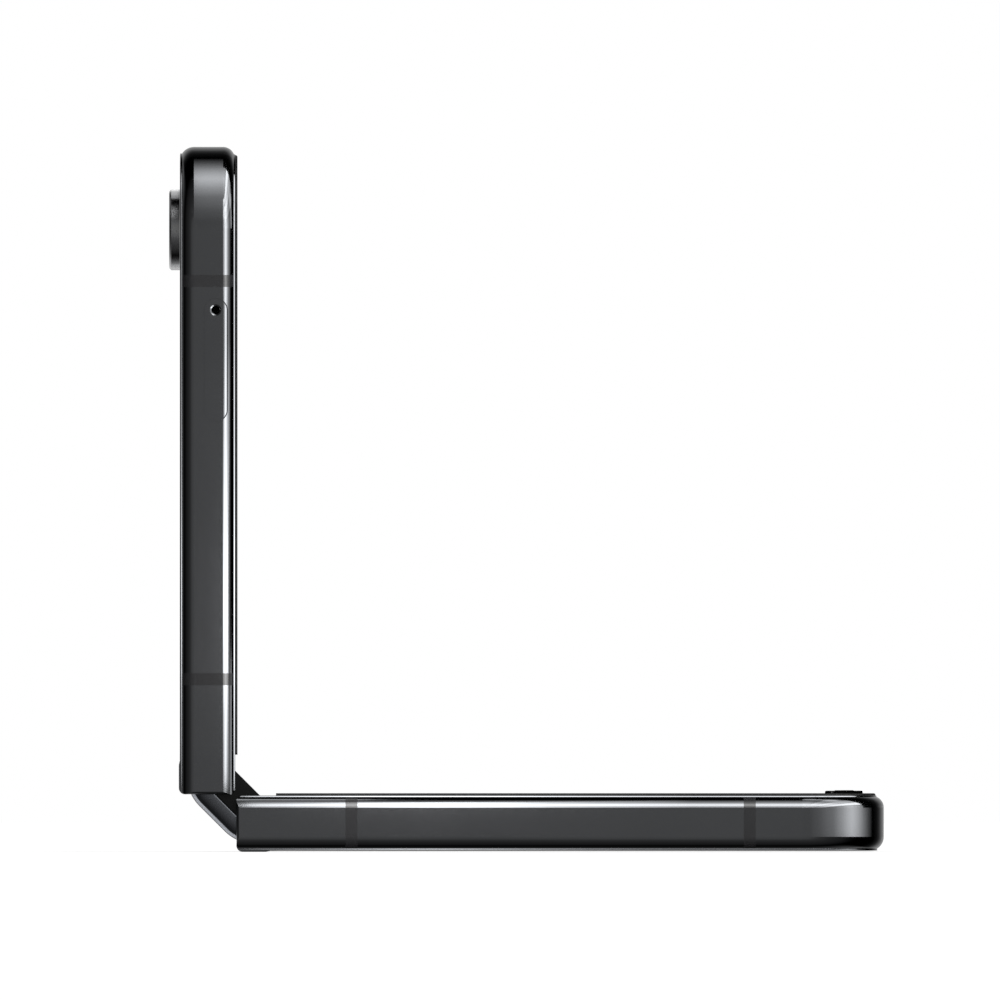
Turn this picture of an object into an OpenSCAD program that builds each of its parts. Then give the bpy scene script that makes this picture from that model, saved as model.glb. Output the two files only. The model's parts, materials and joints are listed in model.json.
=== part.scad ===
// Clamshell foldable smartphone, half open on its lower half.
// Each half is drawn in its own half frame: x runs from the hinge end to the far end, y across,
// and z up from the back face. The hinge spine is drawn with x across the two pivots and z
// towards the display. Angles in the spine are measured from +x towards +z.

/* [Body] */
// Length of each half
half_len = 82.5; // [74:0.5:100]
// Width of the phone
body_w = 71.9; // [66:0.1:88]
// Thickness of each half, frame only
half_t = 7.0; // [6.6:0.1:8.4]
// Plan radius of the far corners
corner_r = 10.5; // [8:0.5:12]
// Edge radius of the frame on the display side
edge_front = 1.5; // [0.8:0.1:1.8]
// Edge radius of the frame on the back side
edge_back = 1.8; // [0.8:0.1:2.0]
// Thickness of the frame's outer wall
rail_w = 2.0; // [1.8:0.1:2.6]
// Thickness of the side walls beside the hinge
cheek_w = 1.0; // [0.8:0.1:1.4]
// Plan radius of the side walls' ends at the hinge
end_round = 0.35; // [0.1:0.05:0.5]
// Fold angle that the phone stands at, 0 is flat and 180 is closed
rest_fold = 90; // [40:5:150]

/* [Display] */
// Depth of the display's surface below the frame
display_sink = 0.35; // [0.2:0.05:0.5]
// Thickness of the folding display
display_t = 0.6; // [0.4:0.05:0.8]
// Inset of the display's edge from the frame's side
display_inset = 3.75; // [3:0.05:5]
// Thickness of the metal sheet behind the display
support_t = 0.28; // [0.15:0.01:0.4]
// Distance from the hinge end where the rigid display starts
fold_reach = 5.0; // [4.5:0.1:6]
// Height of the raised bezel above the frame
bezel_rise = 0.34; // [0.2:0.02:0.6]
// Inset of the bezel's outer edge from the frame's side
bezel_inset = 1.0; // [0.8:0.1:1.4]
// Distance from the hinge end where the bezel starts
bezel_start = 5.1; // [5:0.1:8]
// Diameter of a bumper pad
bumper_d = 4.1; // [3:0.1:4.6]
// Height of a bumper pad over the bezel
bumper_h = 0.33; // [0.2:0.01:0.36]
// Diameter of the nub on a bumper pad
nub_d = 1.6; // [1:0.1:2]
// Height of that nub
nub_h = 0.06; // [0.02:0.01:0.08]
// Distance of the bumper pads from the far end
bumper_end = 4.74; // [4:0.02:7]

/* [Back] */
// Thickness of the back glass
cover_t = 0.6; // [0.4:0.05:0.8]
// Inset of the back glass from the frame's side
cover_inset = 1.9; // [1.8:0.05:3]
// Width of the metal lip behind the hinge
lip_len = 4.3; // [3:0.1:6]
// Height of that lip over the back glass
lip_rise = 0.12; // [0:0.02:0.3]
// Length of the lip's slope down to the back glass
lip_slope = 0.6; // [0.2:0.1:1.5]

/* [Hinge] */
// Distance of each pivot line from its half's hinge end
pivot_in = 2.25; // [2:0.05:2.4]
// Depth of the pivot lines below the frame's display side
pivot_depth = 0.8; // [0.7:0.05:0.95]
// Gap between the two halves when the phone is flat
open_gap = 0.1; // [0.06:0.02:0.3]
// Thickness of the frame's back wall under the hinge
back_lip = 0.78; // [0.6:0.02:1]
// Gap between the spine cover and the halves
bay_gap = 0.15; // [0.1:0.01:0.25]
// Wall of the spine cover
spine_wall = 0.6; // [0.4:0.05:0.7]
// Radius of the black end caps about each pivot
cap_r = 2.7; // [2:0.05:2.75]
// Bevel round the hinge's ends, seen from the side
bevel_w = 0.13; // [0.05:0.01:0.2]
// Depth of that bevel along the hinge
bevel_deep = 0.38; // [0.2:0.02:0.5]
// Thickness of the end caps along the hinge
cap_w = 2.45; // [1.5:0.05:2.5]
// Level of the end caps' flat face above the open frames
cap_rise = 0.34; // [0:0.02:0.4]
// How far the closed halves turn past parallel, each
closed_over = 0.7; // [0:0.1:1]

/* [Hinge gears] */
// Teeth in the full circle of an arc rack
rack_teeth = 44; // [40:1:52]
// Teeth of a pinion
pinion_teeth = 12; // [11:1:13]
// Teeth of an idler
idler_teeth = 16; // [15:1:17]
// Drop of the idlers below the pinions
idler_drop = 0.7; // [0.5:0.05:0.9]
// Pressure angle of the teeth
press_angle = 25; // [20:1:28]
// Play taken off each tooth flank
flank_play = 0.014; // [0.008:0.002:0.03]
// Saddle of the hinge base outside the arc racks
saddle_t = 0.42; // [0.3:0.02:0.6]
// Height of an arc rack from its pitch line to its outside
rack_body = 0.73; // [0.5:0.01:1]
// Width of an arc rack along the hinge
rack_w = 3.0; // [2:0.1:4]
// Width of the gear train along the hinge
gear_w = 2.0; // [1:0.1:3]
// Thickness of the bearing walls of the hinge base
bearing_w = 0.8; // [0.6:0.1:1.2]
// Distance of the first bearing wall from the phone's middle
module_y = 14.0; // [13:0.5:15]
// Radius of the gear shafts
journal_r = 0.55; // [0.4:0.05:0.7]
// Running play of shafts and arc racks
run_play = 0.05; // [0.03:0.01:0.08]

/* [Cameras] */
// Diameter of a camera ring
ring_d = 10.2; // [8:0.1:12]
// Height of a camera ring over the cover glass
ring_h = 1.41; // [1:0.05:2]
// Distance of the camera rings from the far end
ring_end = 10.06; // [9:0.02:14]
// Distance of the outer camera ring from the phone's middle
ring_y = 24.2; // [20:0.1:26]
// Spacing of the two camera rings
ring_pitch = 13.0; // [12.4:0.1:15]

/* [Side parts] */
// Length of the card tray's face
tray_len = 15.5; // [14.5:0.1:19]
// Height of the card tray's face
tray_h = 2.8; // [2.4:0.1:3]
// Distance of the card tray's face from the far end
tray_end = 19.5; // [17:0.1:22]
// Depth of the tray's centre line below the frame's display side
side_depth = 2.43; // [2.3:0.01:2.6]
// Gap round the card tray's face
tray_gap = 0.13; // [0.05:0.01:0.2]
// Radius of the eject hole
eject_r = 0.55; // [0.4:0.01:0.6]
// Width of the eject hole's countersink
eject_sink = 0.18; // [0.05:0.01:0.3]
// Length of the volume key
volume_len = 19.0; // [14:0.5:22]
// Length of the power key
power_len = 12.5; // [10:0.5:16]
// Height of both keys
key_h = 2.6; // [2:0.1:2.8]
// Width of an antenna band
band_w = 1.53; // [1:0.01:2]
// Distance of the near antenna band from the hinge end
band_near = 14.64; // [14:0.01:20]
// Distance of the far antenna band from the far end
band_far = 17.2; // [12:0.1:19]
// Width of the socket's opening
port_w = 8.34; // [8:0.01:9]
// Height of the socket's opening
port_h = 2.56; // [2.4:0.01:2.8]

/* [Hidden] */
$fn = 64;

half_w = body_w / 2;
eps = 0.01;
fit = 0.05;

// Levels in a half, up from its back face
display_z = half_t - display_sink;
support_z = display_z - display_t - 0.02;
mid_z = support_z - support_t - 0.05;
mid_t = 0.6;
flange_z = display_z + fit;
bezel_z = half_t + bezel_rise;
flange_in = display_inset - 0.15;
ledge_z = cover_t + fit;
ledge_t = 0.75;
cell_z = ledge_z + ledge_t;
bay_wall_z = 4.4;
foot_from = 3.2;
foot_len = 5.2;
screw_x = pivot_in + foot_from + foot_len;
ledge_end = 14.0;

// Hinge lines in the spine
pivot_v = pivot_in + open_gap / 2;
pivot_z = half_t - pivot_depth;
spine_r = pivot_z - back_lip - bay_gap;
spine_in = spine_r - spine_wall;
spine_floor = -pivot_depth - spine_in;
bay_r = spine_r + bay_gap;
spine_y = half_w - cheek_w - 0.1;
spine_edge = -pivot_depth - spine_r * sin(15);
notch_edge = -pivot_depth - pivot_in + 0.02;
end_wall_top = -pivot_depth - cap_r - 0.02;
half_fold = rest_fold / 2;

// Gear train
rack_out = spine_in - saddle_t;
rack_pitch = rack_out - rack_body;
tooth_m = 2 * rack_pitch / rack_teeth;
pinion_r = tooth_m * pinion_teeth / 2;
idler_r = tooth_m * idler_teeth / 2;
tip_add = 0.85 * tooth_m;
root_ded = 1.15 * tooth_m;
pinion_v = idler_r + sqrt(pow(pinion_r + idler_r, 2) - pow(idler_drop, 2));
mesh_angle = -acos((pinion_v - pivot_v) / (rack_pitch - pinion_r));
pinion_w = -pivot_depth + (rack_pitch - pinion_r) * sin(mesh_angle);
idler_w = pinion_w - idler_drop;
rack_in = rack_pitch - tip_add;
rack_first = -18;
rack_last = mesh_angle - 90 - closed_over - 8;
base_top = -2.35;
foot_angle = -27;

// Stations of a hinge module along y
gear_y = module_y + bearing_w + 0.1;
wall2_y = gear_y + gear_w + 0.1;
rack1_y = wall2_y + bearing_w + 0.1;
wall3_y = rack1_y + rack_w + 0.1;
rack2_y = wall3_y + bearing_w + 0.1;
wall4_y = rack2_y + rack_w + 0.1;
module_end = wall4_y + 4.6;
plate_y = 5.0;
plate_w = 0.8;
block_y = module_y - 2.7;
spring_step = 0.55;
spring_y = plate_y + plate_w + 0.05;
spring_count = floor((block_y - plate_y - plate_w - 0.1) / spring_step);

// Tooth phases that keep the train in mesh, at the flat pose
pitch_p = 360 / pinion_teeth;
pitch_i = 360 / idler_teeth;
pitch_k = 360 / rack_teeth;
to_idler = atan2(idler_w - pinion_w, idler_r - pinion_v);
lead_1 = wrap(to_idler - mesh_angle, pitch_p);
idler1_phase = to_idler + 180 + pitch_i / 2 + lead_1 * pinion_teeth / idler_teeth;
lead_2 = wrap(idler1_phase - 180, pitch_i);
idler2_phase = pitch_i / 2 - lead_2;
u_dir = atan2(pinion_w - idler_w, idler_r - pinion_v);
lead_3 = wrap(idler2_phase - u_dir, pitch_i);
pinion2_phase = u_dir + 180 + pitch_p / 2 - lead_3 * idler_teeth / pinion_teeth;
lead_4 = wrap(pinion2_phase - (180 - mesh_angle), pitch_p);
rack2_phase = mesh_angle - lead_4 * pinion_teeth / rack_teeth;
turn_p = half_fold * rack_teeth / pinion_teeth;
turn_i = half_fold * rack_teeth / idler_teeth;

// Bend of the display at the fold angle, a circle that meets both flat stretches
fold_rad = half_fold * PI / 180;
mid_lift = pivot_depth - display_sink - display_t / 2;
bend_reach = pivot_v - pivot_in * cos(half_fold) - mid_lift * sin(half_fold);
bend_from = (fold_rad * bend_reach / sin(half_fold) - open_gap / 2)
    / (1 - fold_rad * cos(half_fold) / sin(half_fold));
bend_v = pivot_v + (bend_from - pivot_in) * cos(half_fold) - mid_lift * sin(half_fold);
bend_w = -pivot_depth + (bend_from - pivot_in) * sin(half_fold) + mid_lift * cos(half_fold);
bend_r = bend_v / sin(half_fold);
bend_c = bend_w + bend_r * cos(half_fold);

// Side parts
side_z = half_t - side_depth;
tray_mid = half_len - tray_end - tray_len / 2;
tray_face = 1.25;
eject_x = half_len - tray_end - tray_h / 2;
card_l = 12.3;
card_w = 8.8;
card_t = 0.67;
carrier_w = card_w + 1.6;
carrier_l = card_l + 1.6;
carrier_t = 1.0;
carrier_x = tray_mid - 1.3;
key_space = 6.5;
volume_mid = half_len - band_far - band_w / 2 - 2 - volume_len / 2;
power_mid = volume_mid - volume_len / 2 - key_space - power_len / 2;
key_deep = 1.3;
key_travel = 0.25;
key_gap = 0.15;
switch_y = half_w - key_deep - key_travel - 0.25;
power_rise = 0.35;
volume_rise = 0.4;
camera_x = half_len - ring_end;
camera_y = [ring_y, ring_y - ring_pitch];
camera_half = 4.4;
lens_r = [2.9, 2.5];
flash_y = ring_y - ring_pitch - ring_d / 2 - 4;
selfie_x = half_len - 8.1;
port_z = half_t / 2 - 0.15;
port_len = 7.0;
port_wall = 0.3;
board_t = 0.8;
board_z = mid_z - mid_t - board_t - fit;
cell_side = half_w - 7;
lower_cell_end = half_len - 21.5;
upper_cell_end = half_len - 39.5;
main_from = upper_cell_end + 2.5;
sub_from = lower_cell_end + 2;
coil_x = half_len * 0.46;

function wrap(a, step) = a - step * floor(a / step);
function inv(a) = tan(a) * 180 / PI - a;
function roll(rho, base) = rho > base ? acos(base / rho) : 0;
// Point at share k of half the fold, on a bend of radius r about level c
function bend_point(r, c, k) = [r * sin(k * half_fold), c - r * cos(k * half_fold)];
// Half the angle that a tooth fills at radius rho
function flank(z, rho, play) = let (r = tooth_m * z / 2, base = r * cos(press_angle))
    90 / z - play / r * 180 / PI + inv(press_angle) - inv(roll(rho, base));

// Places
module on_lower() translate([-half_len / 2, 0, 0]) children();
module at_pivot() translate([-half_len / 2 + pivot_in, 0, pivot_z]) children();
module on_spine() at_pivot() rotate([0, half_fold, 0])
    translate([-pivot_v, 0, pivot_depth]) children();
module on_upper() at_pivot() rotate([0, half_fold, 0]) translate([-2 * pivot_v, 0, 0])
    rotate([0, half_fold, 0]) translate([pivot_in, 0, -pivot_z]) mirror([1, 0, 0]) children();
// Draws in x and z, and fills from y0 to y1
module along_y(y0, y1) translate([0, y1, 0]) rotate([90, 0, 0])
    linear_extrude(y1 - y0) children();
// Draws in y and z, and fills from x0 to x1
module along_x(x0, x1) translate([x0, 0, 0]) rotate([90, 0, 90])
    linear_extrude(x1 - x0) children();
module both_sides() for (m = [0, 1]) mirror([0, m, 0]) children();
module slab(x0, x1, y0, y1, z0, z1) translate([x0, y0, z0]) cube([x1 - x0, y1 - y0, z1 - z0]);
module disc(x, y, r, z0, z1) translate([x, y, z0]) cylinder(r = r, h = z1 - z0);

// Flat outlines
module stadium(len, h) {
    square([len - h, h], center = true);
    for (m = [-1, 1]) translate([m * (len - h) / 2, 0]) circle(h / 2);
}
module soft_box(x0, x1, y0, y1, r) {
    translate([x0 + r, y0]) square([x1 - x0 - 2 * r, y1 - y0]);
    translate([x0, y0 + r]) square([x1 - x0, y1 - y0 - 2 * r]);
    for (x = [x0 + r, x1 - r]) for (y = [y0 + r, y1 - r]) translate([x, y]) circle(r);
}
// Plan of a half from x0 to its far end, set in from the frame's side
module half_plan(inset, x0) {
    r = corner_r - inset;
    w = half_w - inset;
    translate([x0, -w]) square([half_len - inset - r - x0, 2 * w]);
    translate([x0, r - w]) square([half_len - inset - x0, 2 * (w - r)]);
    for (m = [-1, 1]) translate([half_len - corner_r, m * (half_w - corner_r)]) circle(r);
}
// Sweeps a section round a half: x is the distance outwards from the frame's side, y is the height
module sweep_half(x0) {
    both_sides() translate([x0, half_w, 0]) rotate([90, 0, 90])
        linear_extrude(half_len - corner_r - x0) children();
    both_sides() translate([half_len - corner_r, half_w - corner_r, 0])
        rotate_extrude(angle = 90) translate([corner_r, 0]) children();
    translate([half_len, half_w - corner_r, 0]) rotate([90, 0, 0])
        linear_extrude(2 * (half_w - corner_r)) children();
}

// Frame sections
module rounded_side(deep) {
    intersection() {
        union() {
            translate([-edge_back, edge_back]) circle(edge_back);
            translate([-edge_front, half_t - edge_front]) circle(edge_front);
            translate([-deep, edge_back]) square([deep, half_t - edge_back - edge_front]);
            translate([-deep, 0]) square([deep - edge_back, half_t / 2]);
            translate([-deep, half_t / 2]) square([deep - edge_front, half_t / 2]);
        }
        translate([-deep, 0]) square([deep, half_t]);
    }
}
module rail_section() {
    difference() {
        rounded_side(flange_in);
        translate([-flange_in - 1, flange_z]) square([flange_in + 1 - bezel_inset, 2]);
        translate([-flange_in - 1, -1]) square([flange_in + 1.0 - cover_inset + fit, 1 + ledge_z]);
        translate([-flange_in - 1, cell_z])
            square([flange_in + 1 - rail_w, mid_z - mid_t - cell_z]);
    }
}
module cheek_section() intersection() {
    rounded_side(cheek_w + fit);
    translate([-cheek_w, -1]) square([cheek_w, half_t + 2]);
}
// Plan of a side wall at the hinge: its outer corner is rounded
module cheek_plan() {
    reach = bezel_start + eps;
    square([reach, half_w - end_round]);
    translate([end_round, 0]) square([reach - end_round, half_w]);
    translate([end_round, half_w - end_round]) circle(end_round);
}
// Side view of a side wall at the hinge: its corners are rounded
module cheek_side() {
    front = 0.5;
    back = 0.8;
    translate([0, back]) square([bezel_start + eps, half_t - front - back]);
    translate([back, 0]) square([bezel_start + eps - back, half_t]);
    translate([front, half_t - front]) circle(front);
    translate([back, back]) circle(back);
}
module hinge_bay() along_y(-half_w + cheek_w, half_w - cheek_w) {
    intersection() {
        translate([pivot_in, pivot_z]) circle(bay_r, $fn = 128);
        translate([-9, -1]) square([22, 1 + mid_z - mid_t]);
    }
    translate([-1, back_lip]) square([1 + pivot_in, half_t]);
    translate([-1, mid_z - mid_t - eps]) square([1 + bezel_start, half_t]);
}
// Bar behind the hinge: its lip shows, and the arc racks are screwed on its ledge
module hinge_bar() {
    y1 = half_w - cheek_w + eps;
    along_y(-half_w + edge_back, half_w - edge_back) {
        polygon([
            [0.8, -lip_rise], [lip_len - lip_slope, -lip_rise], [lip_len, 0],
            [lip_len, back_lip], [0.8, back_lip]
        ]);
        translate([0.8, 0.8 - lip_rise]) circle(0.8);
        translate([0, 0.8 - lip_rise]) square([lip_len, back_lip - 0.8 + lip_rise + eps]);
    }
    slab(0.8, lip_len, -y1, y1, 0, bay_wall_z);
    slab(lip_len - eps, ledge_end, -y1, y1, ledge_z, bay_wall_z);
    slab(ledge_end - 1, ledge_end, -y1, y1, bay_wall_z - eps, mid_z);
}
module foot_stations(first) {
    y = first ? rack1_y : rack2_y;
    both_sides() translate([0, y, 0]) children();
}
module screw_holes() {
    for (first = [true, false]) foot_stations(first)
        disc(screw_x, rack_w / 2, 0.5, bay_wall_z - 2.2, bay_wall_z + 1);
}
module band_places() for (x = [band_near, half_len - band_far]) both_sides()
    translate([x - band_w / 2, half_w, 0]) children();

// Frame of one half without the cut-outs that only that half has
module frame_blank() {
    difference() {
        union() {
            difference() {
                sweep_half(bezel_start) rail_section();
                hinge_bay();
            }
            both_sides() intersection() {
                translate([0, half_w, 0]) rotate([90, 0, 90])
                    linear_extrude(bezel_start + eps) cheek_section();
                along_y(0, half_w + 1) cheek_side();
                linear_extrude(half_t) cheek_plan();
            }
            difference() {
                hinge_bar();
                hinge_bay();
            }
            translate([0, 0, mid_z - mid_t]) linear_extrude(mid_t)
                half_plan(rail_w - fit, ledge_end - 1);
        }
        band_places() rotate([90, 0, 90]) linear_extrude(band_w)
            translate([-1.2, -1]) square([2, half_t + 2]);
        screw_holes();
        slab(ledge_end - 2, ledge_end + 1, -6, 6, bay_wall_z, mid_z - mid_t);
    }
}
module bands() color([0.17, 0.17, 0.18]) band_places() rotate([90, 0, 90])
    linear_extrude(band_w) intersection() {
        rail_section();
        translate([-1.2, -1]) square([2, half_t + 2]);
    }
module bezel_section() {
    r = 0.25;
    x0 = -display_inset - 0.3;
    x1 = -bezel_inset - fit;
    translate([x0, flange_z]) square([x1 - x0, bezel_z - flange_z - r]);
    translate([x0 + r, flange_z]) square([x1 - x0 - 2 * r, bezel_z - flange_z]);
    for (x = [x0 + r, x1 - r]) translate([x, bezel_z - r]) circle(r);
}
module bezel() color([0.03, 0.03, 0.035]) sweep_half(bezel_start) bezel_section();
module display_sheet() translate([0, 0, display_z - display_t]) linear_extrude(display_t)
    half_plan(display_inset, fold_reach);
module support_sheet() translate([0, 0, support_z - support_t]) linear_extrude(support_t)
    half_plan(display_inset, fold_reach - 1.4);
module back_glass() linear_extrude(cover_t) half_plan(cover_inset, lip_len + fit);
module cell(x0, x1, y1, z0) {
    z1 = mid_z - mid_t - fit;
    translate([0, 0, z0]) linear_extrude(z1 - z0) soft_box(x0, x1 - 3, -y1, y1, 1.2);
    slab(x1 - 3.2, x1, -y1 + 3, y1 - 3, z1 - 1.4, z1 - 0.4);
    slab(x1 - 2, x1 + 1.5, -4, 4, z1 - 0.4, z1);
}

// Arc rack of a half, about its pivot at the flat pose, with internal teeth along its arc
module tooth(z, r0, r1, play) {
    steps = 4;
    side = [for (i = [0:steps]) let (rho = r0 + (r1 - r0) * i / steps) [rho, flank(z, rho, play)]];
    polygon(concat(
        [for (p = side) p[0] * [cos(p[1]), sin(p[1])]],
        [for (i = [steps:-1:0]) side[i][0] * [cos(side[i][1]), -sin(side[i][1])]]
    ));
}
module gear(z, phase) {
    r = tooth_m * z / 2;
    circle(r - root_ded);
    for (i = [0:z - 1]) rotate(phase + 360 / z * i)
        tooth(z, r - root_ded - 0.04, r + tip_add, flank_play);
}
module wedge(from, to, far) polygon([[0, 0], for (i = [0:6]) let (a = from + (to - from) * i / 6)
    far * [cos(a), sin(a)]]);
module rack_side(phase) {
    teeth = ceil((mesh_angle - rack_last) / pitch_k);
    difference() {
        intersection() {
            circle(rack_out, $fn = 128);
            wedge(rack_last, rack_first, 8);
        }
        circle(rack_in, $fn = 128);
        for (i = [-2:teeth]) rotate(phase - pitch_k * i)
            tooth(rack_teeth, rack_pitch - 1.1 * tooth_m, rack_pitch + root_ded, -flank_play);
    }
}
module rack_foot() {
    drop = bay_wall_z - pivot_z;
    translate([foot_from, drop]) square([foot_len + 2.1, mid_z - fit - bay_wall_z - 0.1]);
}
module hinge_racks(first, phase) color([0.62, 0.62, 0.64]) foot_stations(first) difference() {
    translate([pivot_in, 0, pivot_z]) along_y(0, rack_w) {
        rack_side(phase);
        rack_foot();
    }
    disc(screw_x, rack_w / 2, 0.6, 0, half_t);
    disc(screw_x, rack_w / 2, 1.1, mid_z - 0.75, half_t);
}
module foot_screws(first) color([0.75, 0.75, 0.76]) foot_stations(first) difference() {
    union() {
        disc(screw_x, rack_w / 2, 0.45, bay_wall_z - 2, mid_z - 0.7);
        disc(screw_x, rack_w / 2, 1.0, mid_z - 0.75, mid_z - 0.25);
    }
    translate([screw_x, rack_w / 2, mid_z - 0.45]) cylinder(r = 0.45, h = 1, $fn = 6);
}

// Spine
module pivots_at() for (m = [-1, 1]) translate([m * pivot_v, -pivot_depth]) children();
module spine_outline(r) {
    pivots_at() circle(r, $fn = 128);
    translate([-pivot_v, -pivot_depth - r]) square([2 * pivot_v, 2 * r]);
}
module below(w) translate([-20, w - 20]) square([40, 20]);
// Profile, height over width along y, of a body of that radius with bevelled ends
module bevelled(r, y1) polygon([
    [0, -y1], [r - bevel_w, -y1], [r, -y1 + bevel_deep], [r, y1 - bevel_deep], [r - bevel_w, y1], [0, y1]
]);
module spine_bevels() {
    for (m = [-1, 1]) translate([m * pivot_v, 0, -pivot_depth]) rotate([90, 0, 0])
        rotate_extrude($fn = 128) bevelled(spine_r + eps, spine_y);
    translate([0, 0, -pivot_depth]) along_x(-pivot_v, pivot_v) for (m = [-90, 90])
        rotate(m) bevelled(spine_r + eps, spine_y);
}
module spine_cover_part() color([0.22, 0.22, 0.23]) {
    difference() {
        intersection() {
            along_y(-spine_y, spine_y) intersection() {
                difference() {
                    spine_outline(spine_r);
                    spine_outline(spine_in);
                }
                below(spine_edge);
            }
            spine_bevels();
        }
        for (m = [0, 1]) mirror([m, 0, 0]) both_sides() {
            y = m == 0 ? rack1_y : rack2_y;
            slab(3, 9, y - 0.3, y + rack_w + 0.3, notch_edge, 0);
        }
        both_sides() slab(-9, 9, spine_y - 0.6, spine_y + 1, end_wall_top, 0);
        base_screw_places() translate([0, 0, spine_floor - 0.4]) cylinder(r = 0.42, h = 1);
    }
    both_sides() difference() {
        along_y(spine_y - 0.6, spine_y) intersection() {
            spine_outline(spine_r - spine_wall / 2);
            below(end_wall_top);
        }
        edge_bevel(end_wall_top);
    }
}
// Bevel along the straight edge at level w of a hinge end
module edge_bevel(w) along_x(-9, 9) polygon([
    [spine_y - bevel_deep, w + eps], [spine_y + eps, w + eps], [spine_y + eps, w - bevel_w]
]);
module cap_parts() color([0.04, 0.04, 0.045]) both_sides() {
    difference() {
        along_y(spine_y - cap_w, spine_y) intersection() {
            union() {
                pivots_at() circle(cap_r);
                translate([-pivot_v, -pivot_depth - cap_r]) square([2 * pivot_v, 2 * cap_r]);
            }
            translate([-9, -9]) square([18, 9 + cap_rise]);
        }
        edge_bevel(cap_rise);
    }
    along_y(spine_y - cap_w, spine_y - 0.7) translate([-2.2, spine_floor])
        square([4.4, end_wall_top - spine_floor + 0.1]);
}
module base_outline() intersection() {
    spine_outline(spine_in - fit);
    translate([-9, spine_floor]) square([18, base_top - spine_floor]);
}
module gear_seats(r_pinion, r_idler) {
    for (m = [-1, 1]) translate([m * pinion_v, pinion_w]) circle(r_pinion);
    for (m = [-1, 1]) translate([m * idler_r, idler_w]) circle(r_idler);
}
// Arc slot of one rack, with the room that its foot sweeps and the pocket of its pinion
module rack_slot() {
    translate([pivot_v, -pivot_depth]) {
        difference() {
            circle(rack_out + run_play, $fn = 128);
            circle(rack_in - run_play, $fn = 128);
        }
        difference() {
            wedge(foot_angle, 90, 9);
            circle(rack_in - run_play, $fn = 128);
        }
    }
    translate([pinion_v, pinion_w]) circle(pinion_r + tip_add + 0.08);
}
module base_screw_places() both_sides() for (m = [-1, 1])
    translate([m * 2.8, module_end - 1.7, 0]) children();
module hinge_base() color([0.5, 0.5, 0.52]) both_sides() difference() {
    along_y(module_y, module_end) base_outline();
    along_y(module_y - 1, wall2_y + bearing_w / 2)
        gear_seats(journal_r + run_play, journal_r + run_play);
    along_y(gear_y - 0.1, wall2_y) {
        gear_seats(pinion_r + tip_add + 0.1, idler_r + tip_add + 0.06);
        translate([-pinion_v, pinion_w]) square([2 * pinion_v, 9]);
        translate([-idler_r, idler_w]) square([2 * idler_r, 9]);
    }
    along_y(rack1_y - 0.1, wall3_y) rack_slot();
    along_y(rack2_y - 0.1, wall4_y) mirror([1, 0]) rack_slot();
    along_y(wall2_y - 1, wall3_y + bearing_w / 2)
        translate([pinion_v, pinion_w]) circle(journal_r + run_play);
    along_y(wall2_y - 1, wall4_y + bearing_w / 2)
        translate([-pinion_v, pinion_w]) circle(journal_r + run_play);
    for (m = [-1, 1]) translate([m * 2.8, module_end - 1.7, spine_floor - 1]) {
        cylinder(r = 0.5, h = 9);
        translate([0, 0, 1 + base_top - spine_floor - 0.6]) cylinder(r = 1.05, h = 2);
    }
}
module base_screws() color([0.75, 0.75, 0.76]) base_screw_places() difference() {
    union() {
        translate([0, 0, spine_floor - 0.38]) cylinder(r = 0.4, h = base_top - spine_floor - 0.2);
        translate([0, 0, base_top - 0.6]) cylinder(r = 0.95, h = 0.45);
    }
    translate([0, 0, base_top - 0.4]) cylinder(r = 0.4, h = 1, $fn = 6);
}
// Shaft with its gear in the train, drawn along y
module shaft(y0, y1) along_y(y0, y1) circle(journal_r);
module train_gear(z, phase) along_y(gear_y, gear_y + gear_w) gear(z, phase);
module pinions(m, phase, y) color([0.7, 0.7, 0.68]) both_sides()
    translate([m * pinion_v, 0, pinion_w]) {
        shaft(module_y + 0.1, y + rack_w + 0.1 + bearing_w / 2 - 0.05);
        train_gear(pinion_teeth, phase);
        along_y(y, y + rack_w) gear(pinion_teeth, phase);
    }
module idlers(m, phase) color([0.7, 0.7, 0.68]) both_sides()
    translate([m * idler_r, 0, idler_w]) {
        shaft(plate_y - 0.5, wall2_y + bearing_w / 2 - 0.05);
        train_gear(idler_teeth, phase);
        along_y(module_y - 1.1, module_y - 0.1) circle(idler_r - 0.1);
        for (i = [0:2]) rotate([0, -120 * i, 0]) along_y(module_y - 1.4, module_y - 1.0)
            intersection() {
                circle(idler_r - 0.1);
                wedge(-25, 25, 3);
            }
        along_y(plate_y - 0.4, plate_y - 0.1) circle(idler_r - 0.25);
    }
module springs() color([0.66, 0.66, 0.6]) both_sides()
    for (m = [-1, 1]) for (i = [0:spring_count - 1])
        translate([m * idler_r, spring_y + spring_step * (i + i % 2), idler_w])
            rotate([i % 2 ? 90 : -90, 0, 0]) rotate_extrude() polygon([
                [journal_r + 0.1, 0], [idler_r - 0.08, 0.25], [idler_r - 0.08, 0.5],
                [journal_r + 0.1, 0.25]
            ]);
module cross_plate(y0, y1, hole) along_y(y0, y1) difference() {
    intersection() {
        base_outline();
        below(idler_w + 1.3);
    }
    for (m = [-1, 1]) translate([m * idler_r, idler_w]) circle(hole);
}
module fold_sheet() color([0.02, 0.02, 0.03]) along_y(display_inset - half_w, half_w - display_inset) {
    intersection() {
        translate([0, bend_c]) difference() {
            circle(bend_r + display_t / 2, $fn = 160);
            circle(bend_r - display_t / 2, $fn = 160);
        }
        translate([0, bend_c]) wedge(-90 - half_fold, -90 + half_fold, 4 * bend_r);
    }
    for (m = [0, 1]) mirror([m, 0]) translate([bend_v, bend_w]) rotate(half_fold)
        translate([0, -display_t / 2]) square([fold_reach - bend_from - 0.02, display_t]);
}
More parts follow.
